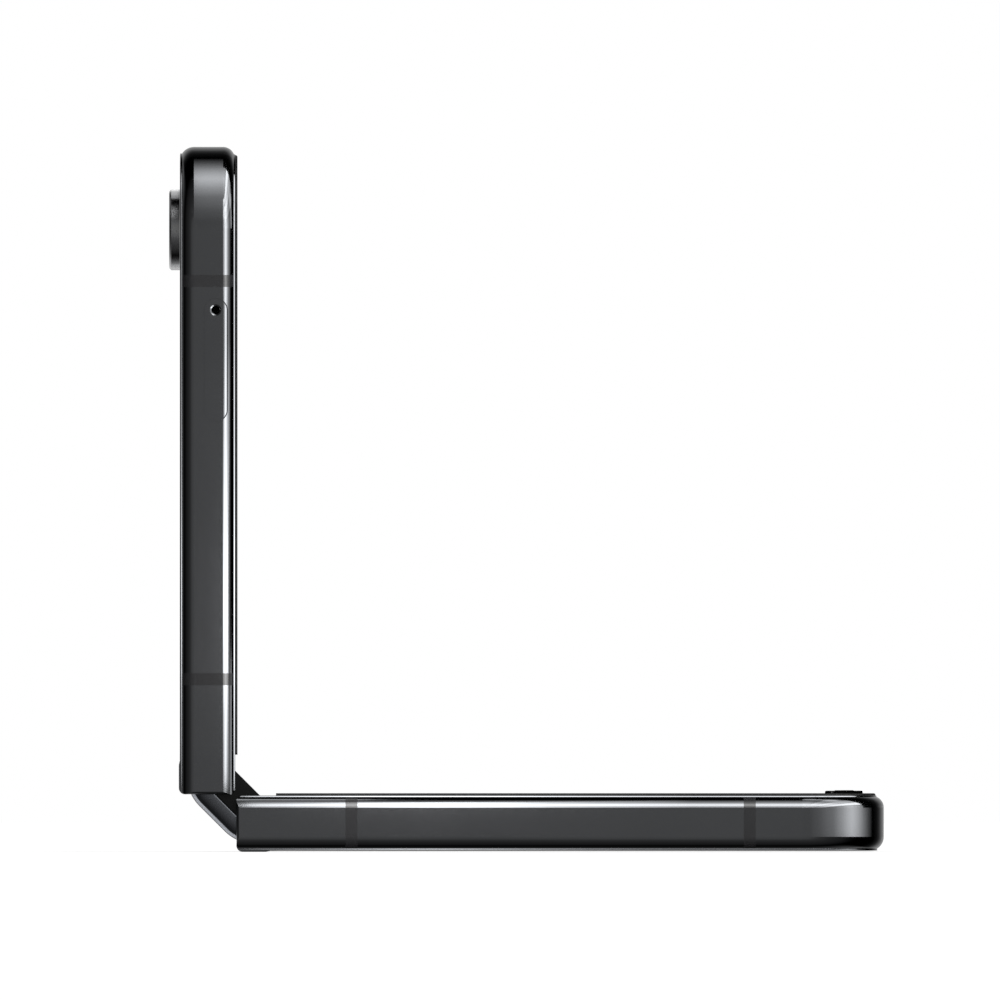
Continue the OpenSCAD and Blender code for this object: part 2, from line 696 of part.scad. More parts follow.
// Display flex: it lies on both ledges and dips into the spine between them
module flex_part() color([0.55, 0.36, 0.16]) {
    t = 0.12;
    tip = ledge_end + 1.5 - pivot_in;
    drop = bay_wall_z + 0.03 - pivot_z;
    far_v = pivot_v + tip * cos(half_fold) - drop * sin(half_fold);
    far_w = -pivot_depth + tip * sin(half_fold) + drop * cos(half_fold);
    r = 2;
    low = far_w - far_v * tan(half_fold);
    c = low + r / cos(half_fold);
    outer = concat(
        [[-far_v, far_w]], [for (i = [-8:8]) bend_point(r, c, i / 8)], [[far_v, far_w]]
    );
    in_v = far_v - t * sin(half_fold);
    in_w = far_w + t * cos(half_fold);
    inner = concat(
        [[in_v, in_w]], [for (i = [8:-1:-8]) bend_point(r - t, c, i / 8)], [[-in_v, in_w]]
    );
    along_y(-4, 4) polygon(concat(outer, inner));
}

// Lower half
module usb_hole() translate([0, 0, port_z]) along_x(half_len - rail_w - 1, half_len + 1)
    stadium(port_w + 2 * port_wall + 2 * fit, port_h + 2 * port_wall + 2 * fit);
module sound_holes() for (i = [0:5])
    translate([0, -10.5 - 2.1 * i, port_z]) along_x(half_len - rail_w - 1, half_len + 1) circle(0.55);
module lower_frame() color([0.26, 0.26, 0.27]) on_lower() difference() {
    frame_blank();
    usb_hole();
    sound_holes();
    translate([0, 9.5, port_z]) along_x(half_len - rail_w - 1, half_len + 1) circle(0.45);
}
module lower_antenna_bands() on_lower() bands();
module lower_back_cover() color([0.12, 0.12, 0.125]) on_lower() back_glass();
module lower_bezel() on_lower() bezel();
module pad_profile(r, h, soft) {
    square([r - soft, h]);
    square([r, h - soft]);
    intersection() {
        translate([r - soft, h - soft]) circle(soft);
        square([r, h]);
    }
}
module lower_bumpers() color([0.05, 0.05, 0.05]) on_lower() {
    x = half_len - bumper_end;
    ring = corner_r - (bezel_inset + display_inset + 0.3) / 2;
    y = half_w - corner_r + sqrt(pow(ring, 2) - pow(corner_r - bumper_end, 2));
    for (m = [-1, 1]) {
        intersection() {
            translate([x, m * y, bezel_z]) rotate_extrude() pad_profile(bumper_d / 2, bumper_h, 0.2);
            translate([0, 0, bezel_z]) linear_extrude(1) difference() {
                half_plan(bezel_inset + 0.3, ledge_end);
                half_plan(display_inset, ledge_end - 1);
            }
        }
        translate([x, m * y, bezel_z + bumper_h - eps])
            rotate_extrude() pad_profile(nub_d / 2, nub_h + eps, nub_h / 2);
    }
}
module lower_display() color([0.02, 0.02, 0.03]) on_lower() display_sheet();
module lower_support_plate() color([0.55, 0.55, 0.56]) on_lower() support_sheet();
module lower_battery() color([0.1, 0.1, 0.11]) on_lower()
    cell(ledge_end + 2, lower_cell_end, cell_side - 1, cell_z - 0.4);
module sub_board() color([0.05, 0.22, 0.15]) on_lower()
    translate([0, 0, board_z]) linear_extrude(board_t) difference() {
        soft_box(sub_from, half_len - rail_w - 0.5, 1 - cell_side, cell_side - 1, 1.5);
        translate([half_len - 8.5, -5.2]) square([9, 10.4]);
        translate([sub_from - 1, -4.5]) square([2.4, 9]);
    }
module usb_c_shell() color([0.6, 0.6, 0.61]) on_lower() translate([0, 0, port_z]) {
    x1 = half_len - 0.3;
    along_x(x1 - port_len, x1) difference() {
        stadium(port_w + 2 * port_wall, port_h + 2 * port_wall);
        stadium(port_w, port_h);
    }
    along_x(x1 - port_len - 0.4, x1 - port_len) stadium(port_w + 2 * port_wall, port_h + 2 * port_wall);
    for (m = [-1, 1]) slab(x1 - 5, x1 - 3.4, m * (port_w / 2 + 0.9) - 0.7,
        m * (port_w / 2 + 0.9) + 0.7, -0.2, board_z - port_z);
}
module usb_c_tongue() color([0.08, 0.08, 0.08]) on_lower() {
    x0 = half_len - 0.3 - port_len;
    difference() {
        slab(x0, x0 + 5.6, -3.3, 3.3, port_z - 0.35, port_z + 0.35);
        for (i = [-3:3]) for (m = [-1, 1])
            slab(x0 + 1.5, x0 + 5.2, i * 0.8 - 0.2, i * 0.8 + 0.2,
                port_z + m * 0.35 - 0.06, port_z + m * 0.35 + 0.06);
    }
}
module usb_c_contacts() color([0.85, 0.68, 0.3]) on_lower() {
    x0 = half_len - 0.3 - port_len;
    for (i = [-3:3]) for (m = [0, 1]) translate([0, i * 0.8, port_z]) mirror([0, 0, m])
        slab(x0 + 1.52, x0 + 5.18, -0.18, 0.18, 0.29, 0.34);
}
module loudspeaker() color([0.07, 0.07, 0.08]) on_lower() difference() {
    translate([0, 0, ledge_z + 0.05]) linear_extrude(3.1)
        soft_box(sub_from + 0.5, half_len - flange_in - 0.3, -24, -7.5, 1.2);
    translate([sub_from + 7.5, -15.75, ledge_z + 2.9]) linear_extrude(1) stadium(10, 6.5);
}
module vibration_motor() color([0.6, 0.6, 0.62]) on_lower() {
    disc(sub_from + 7, 19, 4.9, board_z - 3.0, board_z - 0.2);
    disc(sub_from + 7, 19, 1.2, board_z - 0.25, board_z);
}
module charging_coil() color([0.6, 0.36, 0.2]) on_lower() {
    for (i = [0:4]) difference() {
        disc(coil_x, 0, 20 - 2 * i, cover_t, cover_t + 0.3);
        disc(coil_x, 0, 18.6 - 2 * i, cover_t - 1, cover_t + 1);
    }
    slab(coil_x - 19.5, coil_x - 11, -0.5, 0.5, cover_t + 0.28, cover_t + 0.38);
}
module lower_hinge_racks() on_lower() hinge_racks(true, mesh_angle);
module lower_hinge_screws() on_lower() foot_screws(true);
module lower_microphone() color([0.65, 0.62, 0.5]) on_lower()
    slab(half_len - flange_in - 3.3, half_len - flange_in - 0.3, 7.5, 11.5, board_z - 1.2, board_z);

// Hinge
module spine_cover() on_spine() spine_cover_part();
module hinge_end_caps() on_spine() cap_parts();
module hinge_bases() on_spine() hinge_base();
module hinge_base_screws() on_spine() base_screws();
module disc_springs() on_spine() springs();
module spring_end_plates() on_spine() color([0.5, 0.5, 0.52]) both_sides()
    cross_plate(plate_y, plate_y + plate_w, journal_r + run_play);
module detent_blocks() on_spine() color([0.45, 0.45, 0.47]) both_sides()
    cross_plate(block_y, block_y + 1.2, journal_r + run_play);
module fold_display() on_spine() fold_sheet();
module hinge_flex() on_spine() flex_part();
module lower_pinions() on_spine() pinions(1, mesh_angle + turn_p, rack1_y);
module lower_idlers() on_spine() idlers(1, idler1_phase - turn_i);
module upper_idlers() on_spine() idlers(-1, idler2_phase + turn_i);
module upper_pinions() on_spine() pinions(-1, pinion2_phase - turn_p, rack2_y);

// Upper half
module tray_outline(grow) stadium(tray_len + 2 * grow, tray_h + 2 * grow);
module tray_cut() {
    translate([tray_mid, 0, side_z]) along_y(-half_w - 1, -half_w + tray_face + fit)
        tray_outline(tray_gap);
    slab(carrier_x - carrier_w / 2 - fit, carrier_x + carrier_w / 2 + fit,
        -half_w, -half_w + flange_in + 1, side_z - carrier_t / 2 - fit, side_z + carrier_t / 2 + fit);
    translate([eject_x, 0, side_z]) along_y(-half_w, -half_w + flange_in + 1) circle(0.75);
}
module key_cut(mid, len) {
    translate([mid, 0, side_z]) along_y(half_w - rail_w - fit, half_w + 1)
        stadium(len + 2 * key_gap, key_h + 2 * key_gap);
}
module upper_frame() color([0.26, 0.26, 0.27]) on_upper() difference() {
    frame_blank();
    tray_cut();
    key_cut(volume_mid, volume_len);
    key_cut(power_mid, power_len);
    translate([0, -12, port_z]) along_x(half_len - rail_w - 1, half_len + 1) circle(0.45);
    disc(selfie_x, 0, 2.1, mid_z - mid_t - 1, half_t);
    slab(9.2, ledge_end + 1, -half_w + flange_in, half_w - flange_in, ledge_z - 1, cell_z);
}
module upper_antenna_bands() on_upper() bands();
module cover_glass() color([0.03, 0.03, 0.035]) on_upper() difference() {
    back_glass();
    for (y = camera_y) disc(camera_x, y, ring_d / 2 - 0.6 + fit, -1, 2);
    disc(camera_x, flash_y, 1.7 + fit, -1, 2);
}
module cover_display() color([0.05, 0.05, 0.06]) on_upper()
    translate([0, 0, cover_t]) linear_extrude(0.75) difference() {
        half_plan(flange_in + 0.2, ledge_end - 4.5);
        translate([camera_x - ring_d / 2 - 1.5, flash_y - 3]) square([30, 60]);
    }
module camera_rings() color([0.3, 0.3, 0.31]) on_upper() for (y = camera_y)
    translate([camera_x, y, 0]) rotate_extrude($fn = 96) polygon([
        [ring_d / 2 - 1.5, -ring_h + 0.35], [ring_d / 2 - 1.2, -ring_h],
        [ring_d / 2 - 0.25, -ring_h], [ring_d / 2, -ring_h + 0.25], [ring_d / 2, 0],
        [ring_d / 2 - 0.6, 0], [ring_d / 2 - 0.6, cover_t + 0.2], [ring_d / 2 - 1.5, cover_t + 0.2]
    ]);
module camera_glasses() color([0.02, 0.02, 0.04]) on_upper() for (y = camera_y)
    disc(camera_x, y, ring_d / 2 - 1.5, -ring_h + 0.4, -ring_h + 0.9);
module camera_modules() color([0.12, 0.12, 0.13]) on_upper() for (i = [0, 1]) {
    difference() {
        disc(camera_x, camera_y[i], lens_r[i], -ring_h + 0.95, cover_t + 0.4);
        disc(camera_x, camera_y[i], lens_r[i] - 1.1, -ring_h, -ring_h + 1.3);
    }
    slab(camera_x - camera_half, camera_x + camera_half, camera_y[i] - camera_half,
        camera_y[i] + camera_half, cover_t + 0.35, mid_z - mid_t - fit);
}
module camera_lenses() color([0.1, 0.1, 0.2]) on_upper() for (i = [0, 1]) {
    r = lens_r[i] - 1.15;
    top = 0.3;
    translate([camera_x, camera_y[i], -ring_h + 1.3]) rotate_extrude() polygon(concat(
        [[0, 0], [r, 0]], [for (a = [0:15:90]) [r * cos(a), -0.04 - top * sin(a)]]
    ));
}
module flash_lens() color([0.9, 0.88, 0.75]) on_upper() disc(camera_x, flash_y, 1.7, -0.05, cover_t + 0.3);
module upper_bezel() on_upper() difference() {
    bezel();
    translate([half_len - bezel_inset - 1.6, 0, half_t - 1]) linear_extrude(3)
        rotate(90) stadium(11, 0.5);
}
module upper_display() color([0.02, 0.02, 0.03]) on_upper() difference() {
    display_sheet();
    disc(selfie_x, 0, 1.75, 0, half_t + 1);
}
module upper_support_plate() color([0.55, 0.55, 0.56]) on_upper() difference() {
    support_sheet();
    disc(selfie_x, 0, 2.1, 0, half_t);
}
module front_camera() color([0.05, 0.05, 0.07]) on_upper() {
    disc(selfie_x, 0, 1.65, support_z - support_t, display_z - 0.15);
    disc(selfie_x, 0, 2.0, mid_z - mid_t - 0.2, support_z - 0.1);
    slab(selfie_x - 2.5, selfie_x + 2.5, -2.5, 2.5, mid_z - mid_t - 2.4, mid_z - mid_t - fit);
}
module earpiece() color([0.4, 0.4, 0.42]) on_upper() {
    x0 = camera_x + camera_half + 0.25;
    slab(x0, half_len - flange_in - 0.3, 4, 15, cell_z + 0.6, mid_z - mid_t - fit);
}
module upper_microphone() color([0.65, 0.62, 0.5]) on_upper()
    slab(half_len - flange_in - 3.3, half_len - flange_in - 0.3, -14, -10, board_z - 1.2, board_z);
module main_board() color([0.05, 0.22, 0.15]) on_upper()
    translate([0, 0, board_z]) linear_extrude(board_t) difference() {
        soft_box(main_from, half_len - flange_in - 0.5, -cell_side - 2.5, cell_side + 2.5, 2);
        for (y = camera_y) translate([camera_x, y]) square(2 * camera_half + 0.8, center = true);
        translate([selfie_x - 2.9, -2.9]) square([9, 5.8]);
        translate([camera_x, 3.5]) square([20, 12]);
        translate([carrier_x - carrier_w / 2 - 1, -half_w]) square([carrier_w + 4.5, carrier_l + 8]);
    }
module shield_cans() color([0.68, 0.68, 0.66]) on_upper() {
    for (b = [
        [main_from + 1, half_len - 23, -10, 6],
        [main_from + 1, camera_x - camera_half - 1.5, 8, cell_side]
    ]) difference() {
        translate([0, 0, board_z - 1.5]) linear_extrude(1.5)
            soft_box(b[0], b[1], b[2], b[3], 0.8);
        slab(b[0] + 0.2, b[1] - 0.2, b[2] + 0.2, b[3] - 0.2, board_z - 1.3, board_z + 1);
    }
}
module upper_battery() color([0.1, 0.1, 0.11]) on_upper()
    cell(ledge_end + 1.5, upper_cell_end, cell_side, cell_z + 0.1);
module upper_hinge_racks() on_upper() hinge_racks(false, rack2_phase);
module upper_hinge_screws() on_upper() foot_screws(false);
module card_slot_cage() color([0.7, 0.7, 0.7]) on_upper() {
    x0 = carrier_x - carrier_w / 2 - 0.15;
    x1 = carrier_x + carrier_w / 2 + 0.15;
    y0 = -half_w + rail_w + fit;
    y1 = -half_w + tray_face + carrier_l + 0.5;
    z0 = side_z - carrier_t / 2 - 0.15;
    z1 = mid_z - mid_t - fit;
    difference() {
        slab(x0 - 0.25, x1 + 0.25, y0, y1 + 0.25, z0 - 0.25, z1);
        slab(x0, x1, y0 - 1, y1, z0, z1 + 1);
    }
}
module key_switches() color([0.72, 0.72, 0.68]) on_upper() {
    for (x = [volume_mid - 5.5, volume_mid + 5.5, power_mid]) {
        slab(x - 1.6, x + 1.6, switch_y - 0.32, switch_y, side_z - 1.2, side_z + 0.5);
        translate([x, 0, side_z - 0.3]) along_y(switch_y - eps, switch_y + 0.2) circle(0.7);
    }
    slab(power_mid - 3, volume_mid + 8, switch_y - 0.5, switch_y - 0.3, side_z - 1.3, side_z + 0.5);
}
module card_tray() color([0.26, 0.26, 0.27]) on_upper() difference() {
    union() {
        intersection() {
            translate([tray_mid, 0, side_z]) along_y(-half_w - 1, -half_w + tray_face) tray_outline(0);
            translate([0, -half_w, 0]) rotate([90, 0, 90]) linear_extrude(half_len)
                mirror([1, 0]) rounded_side(tray_face + 1);
        }
        slab(carrier_x - carrier_w / 2, carrier_x + carrier_w / 2, -half_w + tray_face - eps,
            -half_w + tray_face + carrier_l, side_z - carrier_t / 2, side_z + carrier_t / 2);
    }
    slab(carrier_x - card_w / 2 - fit, carrier_x + card_w / 2 + fit,
        -half_w + tray_face + 0.8 - fit, -half_w + tray_face + 0.8 + card_l + fit,
        side_z + carrier_t / 2 - card_t, side_z + 1);
    translate([eject_x, 0, side_z]) {
        along_y(-half_w - 1, -half_w + tray_face + 1) circle(eject_r);
        translate([0, -half_w, 0]) rotate([90, 0, 0]) rotate_extrude() polygon([
            [0, -2 * eject_sink], [eject_r, -eject_sink / 2],
            [eject_r + eject_sink, 0], [eject_r + eject_sink, 1], [0, 1]
        ]);
    }
}
module nano_card() color([0.8, 0.78, 0.7]) on_upper()
    translate([0, 0, side_z + carrier_t / 2 - card_t]) linear_extrude(card_t) polygon([
        [carrier_x - card_w / 2, -half_w + tray_face + 0.8],
        [carrier_x + card_w / 2, -half_w + tray_face + 0.8],
        [carrier_x + card_w / 2, -half_w + tray_face + 0.8 + card_l - 1.5],
        [carrier_x + card_w / 2 - 1.5, -half_w + tray_face + 0.8 + card_l],
        [carrier_x - card_w / 2, -half_w + tray_face + 0.8 + card_l]
    ]);
module key(mid, len, rise) {
    top = half_w + rise;
    translate([mid, 0, side_z]) {
        along_y(top - 0.25, top) stadium(len - 0.3, key_h - 0.3);
        along_y(half_w - key_deep, top - 0.2) stadium(len, key_h);
    }
}
module power_key() color([0.24, 0.24, 0.25]) on_upper() key(power_mid, power_len, power_rise);
module volume_key() color([0.24, 0.24, 0.25]) on_upper() key(volume_mid, volume_len, volume_rise);

lower_frame();
lower_antenna_bands();
lower_back_cover();
lower_bezel();
lower_bumpers();
lower_display();
lower_support_plate();
lower_battery();
sub_board();
usb_c_shell();
usb_c_tongue();
usb_c_contacts();
loudspeaker();
vibration_motor();
charging_coil();
lower_hinge_racks();
lower_hinge_screws();
lower_microphone();
spine_cover();
hinge_end_caps();
hinge_bases();
hinge_base_screws();
disc_springs();
spring_end_plates();
detent_blocks();
fold_display();
hinge_flex();
lower_pinions();
lower_idlers();
upper_idlers();
upper_pinions();
upper_frame();
upper_antenna_bands();
cover_glass();
cover_display();
camera_rings();
camera_glasses();
camera_lenses();
camera_modules();
flash_lens();
upper_bezel();
upper_display();
upper_support_plate();
front_camera();
earpiece();
upper_microphone();
main_board();
shield_cans();
upper_battery();
upper_hinge_racks();
upper_hinge_screws();
card_slot_cage();
key_switches();
card_tray();
nano_card();
power_key();
volume_key();
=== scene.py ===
"""Looks of the foldable smartphone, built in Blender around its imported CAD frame."""

import json
import math

import bmesh
import bpy
from mathutils import Matrix, Vector

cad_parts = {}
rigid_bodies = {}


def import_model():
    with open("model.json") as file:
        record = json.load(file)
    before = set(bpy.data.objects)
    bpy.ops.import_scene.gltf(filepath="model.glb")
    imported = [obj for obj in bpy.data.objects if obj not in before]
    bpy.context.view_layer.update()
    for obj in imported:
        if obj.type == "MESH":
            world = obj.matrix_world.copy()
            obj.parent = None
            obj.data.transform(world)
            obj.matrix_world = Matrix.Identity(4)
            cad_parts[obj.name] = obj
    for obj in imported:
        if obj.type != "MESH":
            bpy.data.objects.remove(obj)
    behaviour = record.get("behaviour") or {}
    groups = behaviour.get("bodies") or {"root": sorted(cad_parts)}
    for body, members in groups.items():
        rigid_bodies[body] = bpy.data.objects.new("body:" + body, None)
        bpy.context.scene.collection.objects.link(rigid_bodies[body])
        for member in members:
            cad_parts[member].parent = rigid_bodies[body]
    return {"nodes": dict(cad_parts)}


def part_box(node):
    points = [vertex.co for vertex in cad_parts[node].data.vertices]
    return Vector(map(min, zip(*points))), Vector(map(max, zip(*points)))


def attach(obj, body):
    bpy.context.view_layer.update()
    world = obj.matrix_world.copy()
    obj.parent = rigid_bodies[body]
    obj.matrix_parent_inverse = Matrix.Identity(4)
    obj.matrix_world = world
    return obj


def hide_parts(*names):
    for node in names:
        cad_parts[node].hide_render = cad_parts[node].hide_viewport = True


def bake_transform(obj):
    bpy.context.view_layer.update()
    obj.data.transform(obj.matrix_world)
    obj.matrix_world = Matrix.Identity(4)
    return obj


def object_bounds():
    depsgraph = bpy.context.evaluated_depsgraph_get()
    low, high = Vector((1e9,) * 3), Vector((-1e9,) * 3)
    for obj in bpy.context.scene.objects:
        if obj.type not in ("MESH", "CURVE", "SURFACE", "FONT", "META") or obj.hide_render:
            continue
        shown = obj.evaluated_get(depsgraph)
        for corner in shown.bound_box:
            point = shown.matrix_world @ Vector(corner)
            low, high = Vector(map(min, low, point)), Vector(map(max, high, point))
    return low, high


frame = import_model()
cad_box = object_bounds()
MM = 0.001
ROOT_HALF = math.sqrt(0.5)
NOISE_ROUGHNESS, CLOUD_DETAIL, GRAIN_DETAIL = 0.55, 4.0, 2.0
NOISE_SPAN, CLOUD_SHARE, BUMP_STRENGTH = (0.3, 0.7), 0.7, 0.6


# ---------------------------------------------------------------- node helpers
class Graph:
    """Builds one node tree with short calls."""

    def __init__(self, tree):
        self.tree = tree
        tree.nodes.clear()

    def node(self, kind, **values):
        made = self.tree.nodes.new(kind)
        for key, value in values.items():
            setattr(made, key, value)
        return made

    def join(self, source, target):
        self.tree.links.new(source, target)

    def put(self, socket, value):
        if hasattr(value, "is_output"):
            self.join(value, socket)
        else:
            socket.default_value = value

    def math(self, operation, a, b=None):
        made = self.node("ShaderNodeMath", operation=operation)
        self.put(made.inputs[0], a)
        if b is not None:
            self.put(made.inputs[1], b)
        return made.outputs[0]

    def vector(self, operation, a, b=None):
        made = self.node("ShaderNodeVectorMath", operation=operation)
        self.put(made.inputs[0], a)
        if b is not None:
            self.put(made.inputs[1], b)
        return made.outputs["Value"] if operation == "LENGTH" else made.outputs[0]

    def noise(self, place, scale, detail):
        made = self.node("ShaderNodeTexNoise")
        self.join(place, made.inputs["Vector"])
        made.inputs["Scale"].default_value = scale
        made.inputs["Detail"].default_value = detail
        made.inputs["Roughness"].default_value = NOISE_ROUGHNESS
        return made.outputs["Fac"]

    def span(self, value, low, high, out_low, out_high):
        made = self.node("ShaderNodeMapRange")
        self.put(made.inputs["Value"], value)
        for name, number in (
            ("From Min", low),
            ("From Max", high),
            ("To Min", out_low),
            ("To Max", out_high),
        ):
            made.inputs[name].default_value = number
        return made.outputs[0]

    def mix(self, factor, a, b):
        made = self.node("ShaderNodeMix", data_type="RGBA")
        self.put(made.inputs["Factor"], factor)
        for socket, value in ((made.inputs[6], a), (made.inputs[7], b)):
            self.put(socket, value if hasattr(value, "is_output") else (*value, 1))
        return made.outputs[2]

    def bump(self, height, distance):
        made = self.node("ShaderNodeBump")
        self.join(height, made.inputs["Height"])
        made.inputs["Distance"].default_value = distance
        made.inputs["Strength"].default_value = BUMP_STRENGTH
        return made.outputs[0]

    def axes(self, place):
        """The x, y and z of a vector."""
        made = self.node("ShaderNodeSeparateXYZ")
        self.join(place, made.inputs[0])
        return made.outputs

    def off(self, value, centre):
        """How far a value is from a centre."""
        return self.math("ABSOLUTE", self.math("SUBTRACT", value, centre))


def surface(
    name, low, high, *, rough, grain, depth, metal=0.0, cloud=90.0, coat=0.0, coat_rough=0.05,
    ior=1.5, stretch=None, film=0.0, extra=None,
):
    """A procedural finish: cloudy colour from low to high, fine grain in roughness and relief.

    grain and cloud are noise scales, depth is the relief's height in millimetres, and extra draws a
    piece's own pattern: it takes and gives back the colour and the height of the relief.
    """
    made = bpy.data.materials.new(name)
    made.use_nodes = True
    g = Graph(made.node_tree)
    out = g.node("ShaderNodeOutputMaterial")
    shader = g.node("ShaderNodeBsdfPrincipled")
    g.join(shader.outputs[0], out.inputs["Surface"])
    place = g.node("ShaderNodeTexCoord").outputs["Object"]
    if stretch:
        place = g.vector("MULTIPLY", place, stretch)
    clouds = g.span(g.noise(place, cloud, CLOUD_DETAIL), *NOISE_SPAN, 0.0, 1.0)
    height = g.noise(place, grain, GRAIN_DETAIL)
    tone = g.math(
        "ADD", g.math("MULTIPLY", clouds, CLOUD_SHARE), g.math("MULTIPLY", height, 1 - CLOUD_SHARE),
    )
    colour = g.mix(tone, low, high)
    g.put(shader.inputs["Roughness"], g.span(height, *NOISE_SPAN, *rough))
    if extra:
        colour, height = extra(g, place, colour, height, shader)
    g.put(shader.inputs["Base Color"], colour)
    shader.inputs["Metallic"].default_value = metal
    shader.inputs["IOR"].default_value = ior
    shader.inputs["Coat Weight"].default_value = coat
    shader.inputs["Coat Roughness"].default_value = coat_rough
    shader.inputs["Thin Film Thickness"].default_value = film
    g.put(shader.inputs["Normal"], g.bump(height, depth * MM))
    return made


def dress(material, *nodes):
    for name in nodes:
        target = frame["nodes"][name]
        target.data.materials.clear()
        target.data.materials.append(material)


# ---------------------------------------------------------------- places in the phone
# Millimetres. A half runs s from its hinge end, y across and z up from its back; the spine has v
# across its two pivots and w towards the display.
HALF_LEN, HALF_W, HALF_T = 82.5, 35.95, 7.0
PIVOT_V, PIVOT_DEPTH, PIVOT_INSET = 2.3, 0.8, 2.25
PIVOT = (PIVOT_INSET - HALF_LEN / 2, HALF_T - PIVOT_DEPTH)
SHEET_T, DISPLAY_INSET = 0.6, 3.75


def spine(v, y, w):
    """Point of the hinge spine, at v across the pivots and w towards the display, in metres."""
    dx, dz = v - PIVOT_V, w + PIVOT_DEPTH
    return Vector((PIVOT[0] + (dx + dz) * ROOT_HALF, y, PIVOT[1] + (dz - dx) * ROOT_HALF)) * MM


def lower(s, y, z):
    """Point of the lower half, s from its hinge end, z up from its back, in metres."""
    return Vector((s - HALF_LEN / 2, y, z)) * MM


def upper(s, y, z):
    """Point of the upper half, s from its hinge end, z from its back towards its display."""
    pivot = spine(-PIVOT_V, 0, -PIVOT_DEPTH) / MM
    return Vector((pivot.x + z - (HALF_T - PIVOT_DEPTH), y, pivot.z + s - PIVOT_INSET)) * MM


def mesh_piece(name, points, faces, material, node_slot, body=None, smooth=True):
    """A closed mesh in its material; node_slot is not used. It rides on a body, if one is given."""
    data = bpy.data.meshes.new(name)
    data.from_pydata([tuple(p) for p in points], [], faces)
    data.validate()
    solid = bmesh.new()
    solid.from_mesh(data)
    bmesh.ops.recalc_face_normals(solid, faces=solid.faces)
    solid.to_mesh(data)
    solid.free()
    data.update()
    made = bpy.data.objects.new(name, data)
    bpy.context.scene.collection.objects.link(made)
    for polygon in data.polygons:
        polygon.use_smooth = smooth
    data.materials.append(material)
    if body:
        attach(made, body)
    return made


def split_edges(piece, degrees):
    """Keeps the edges that turn by more than this angle sharp."""
    piece.modifiers.new("edges", "EDGE_SPLIT").split_angle = math.radians(degrees)


# ---------------------------------------------------------------- patterns drawn over a finish
RING_END = 10.06
RING_Z = upper(HALF_LEN - RING_END, 0, 0).z / MM
RING_CENTRES = [(24.2, RING_Z), (11.2, RING_Z)]
FLASH_CENTRE = [(2.1, RING_Z)]
# Clear window of a lens, and the grey line round it
WINDOW_R, LINE_R, LINE_WIDTH, PRINT_EDGE = 2.10, 2.36, 0.12, 0.06
WINDOW_TINT, LINE_GREY = (0.94, 0.95, 0.97), (0.16, 0.16, 0.17)
# Gold field of the card and its middle pad, as shares, the lines that part the pads, turned grooves
PAD_FIELD, PAD_ROW, PAD_ROW_END, PAD_LINE, GROOVE_DEPTH = 0.40, 0.36, 0.4, 0.1 * MM, 0.5
CARD_WHITE = (0.62, 0.63, 0.64)
# End faces of the spine: outline, painted shade by the distance from it, painted highlight of a
# rim, painted light line by the edge
SPINE_R, SPINE_EDGE = 5.27, 2.74
END_SHADE, END_TONES = (0.8 * MM, 2.5 * MM), (0.4, 3.0)
END_PAINTED_RIM_IN, END_PAINTED_RIM_OUT, END_PAINTED_RIM_GAIN = (0.08 * MM, 0.14 * MM), (0.40 * MM, 0.50 * MM), 14.0
END_PAINTED_LINE, END_PAINTED_LINE_GAIN = (-(SPINE_EDGE + 0.24) * MM, -(SPINE_EDGE + 0.19) * MM), 5.0
END_FACING = (0.6, 0.8)


def card_contacts(g, place, colour, height, shader):
    """Gold contact field on the card's white body, parted by fine lines into pads."""
    low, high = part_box("nano_card")
    _, y, z = g.axes(place)
    y, z = g.off(y, (low[1] + high[1]) / 2), g.off(z, (low[2] + high[2]) / 2)
    reach_y, reach_z = PAD_FIELD * (high[1] - low[1]), PAD_FIELD * (high[2] - low[2])
    row, line = PAD_ROW * reach_z, (PAD_LINE, 1.5 * PAD_LINE)
    field = g.math(
        "MULTIPLY",
        g.span(y, reach_y - PAD_LINE, reach_y, 1, 0), g.span(z, reach_z - PAD_LINE, reach_z, 1, 0),
    )
    rows = g.span(g.off(z, row), *line, 0.0, 1.0)
    middle = g.math(
        "MAXIMUM", g.span(y, *line, 0.0, 1.0), g.span(z, row, PAD_ROW_END * reach_z, 1, 0),
    )
    gold = g.math("MULTIPLY", field, g.math("MULTIPLY", rows, middle))
    g.put(shader.inputs["Metallic"], gold)
    return g.mix(gold, CARD_WHITE, colour), height


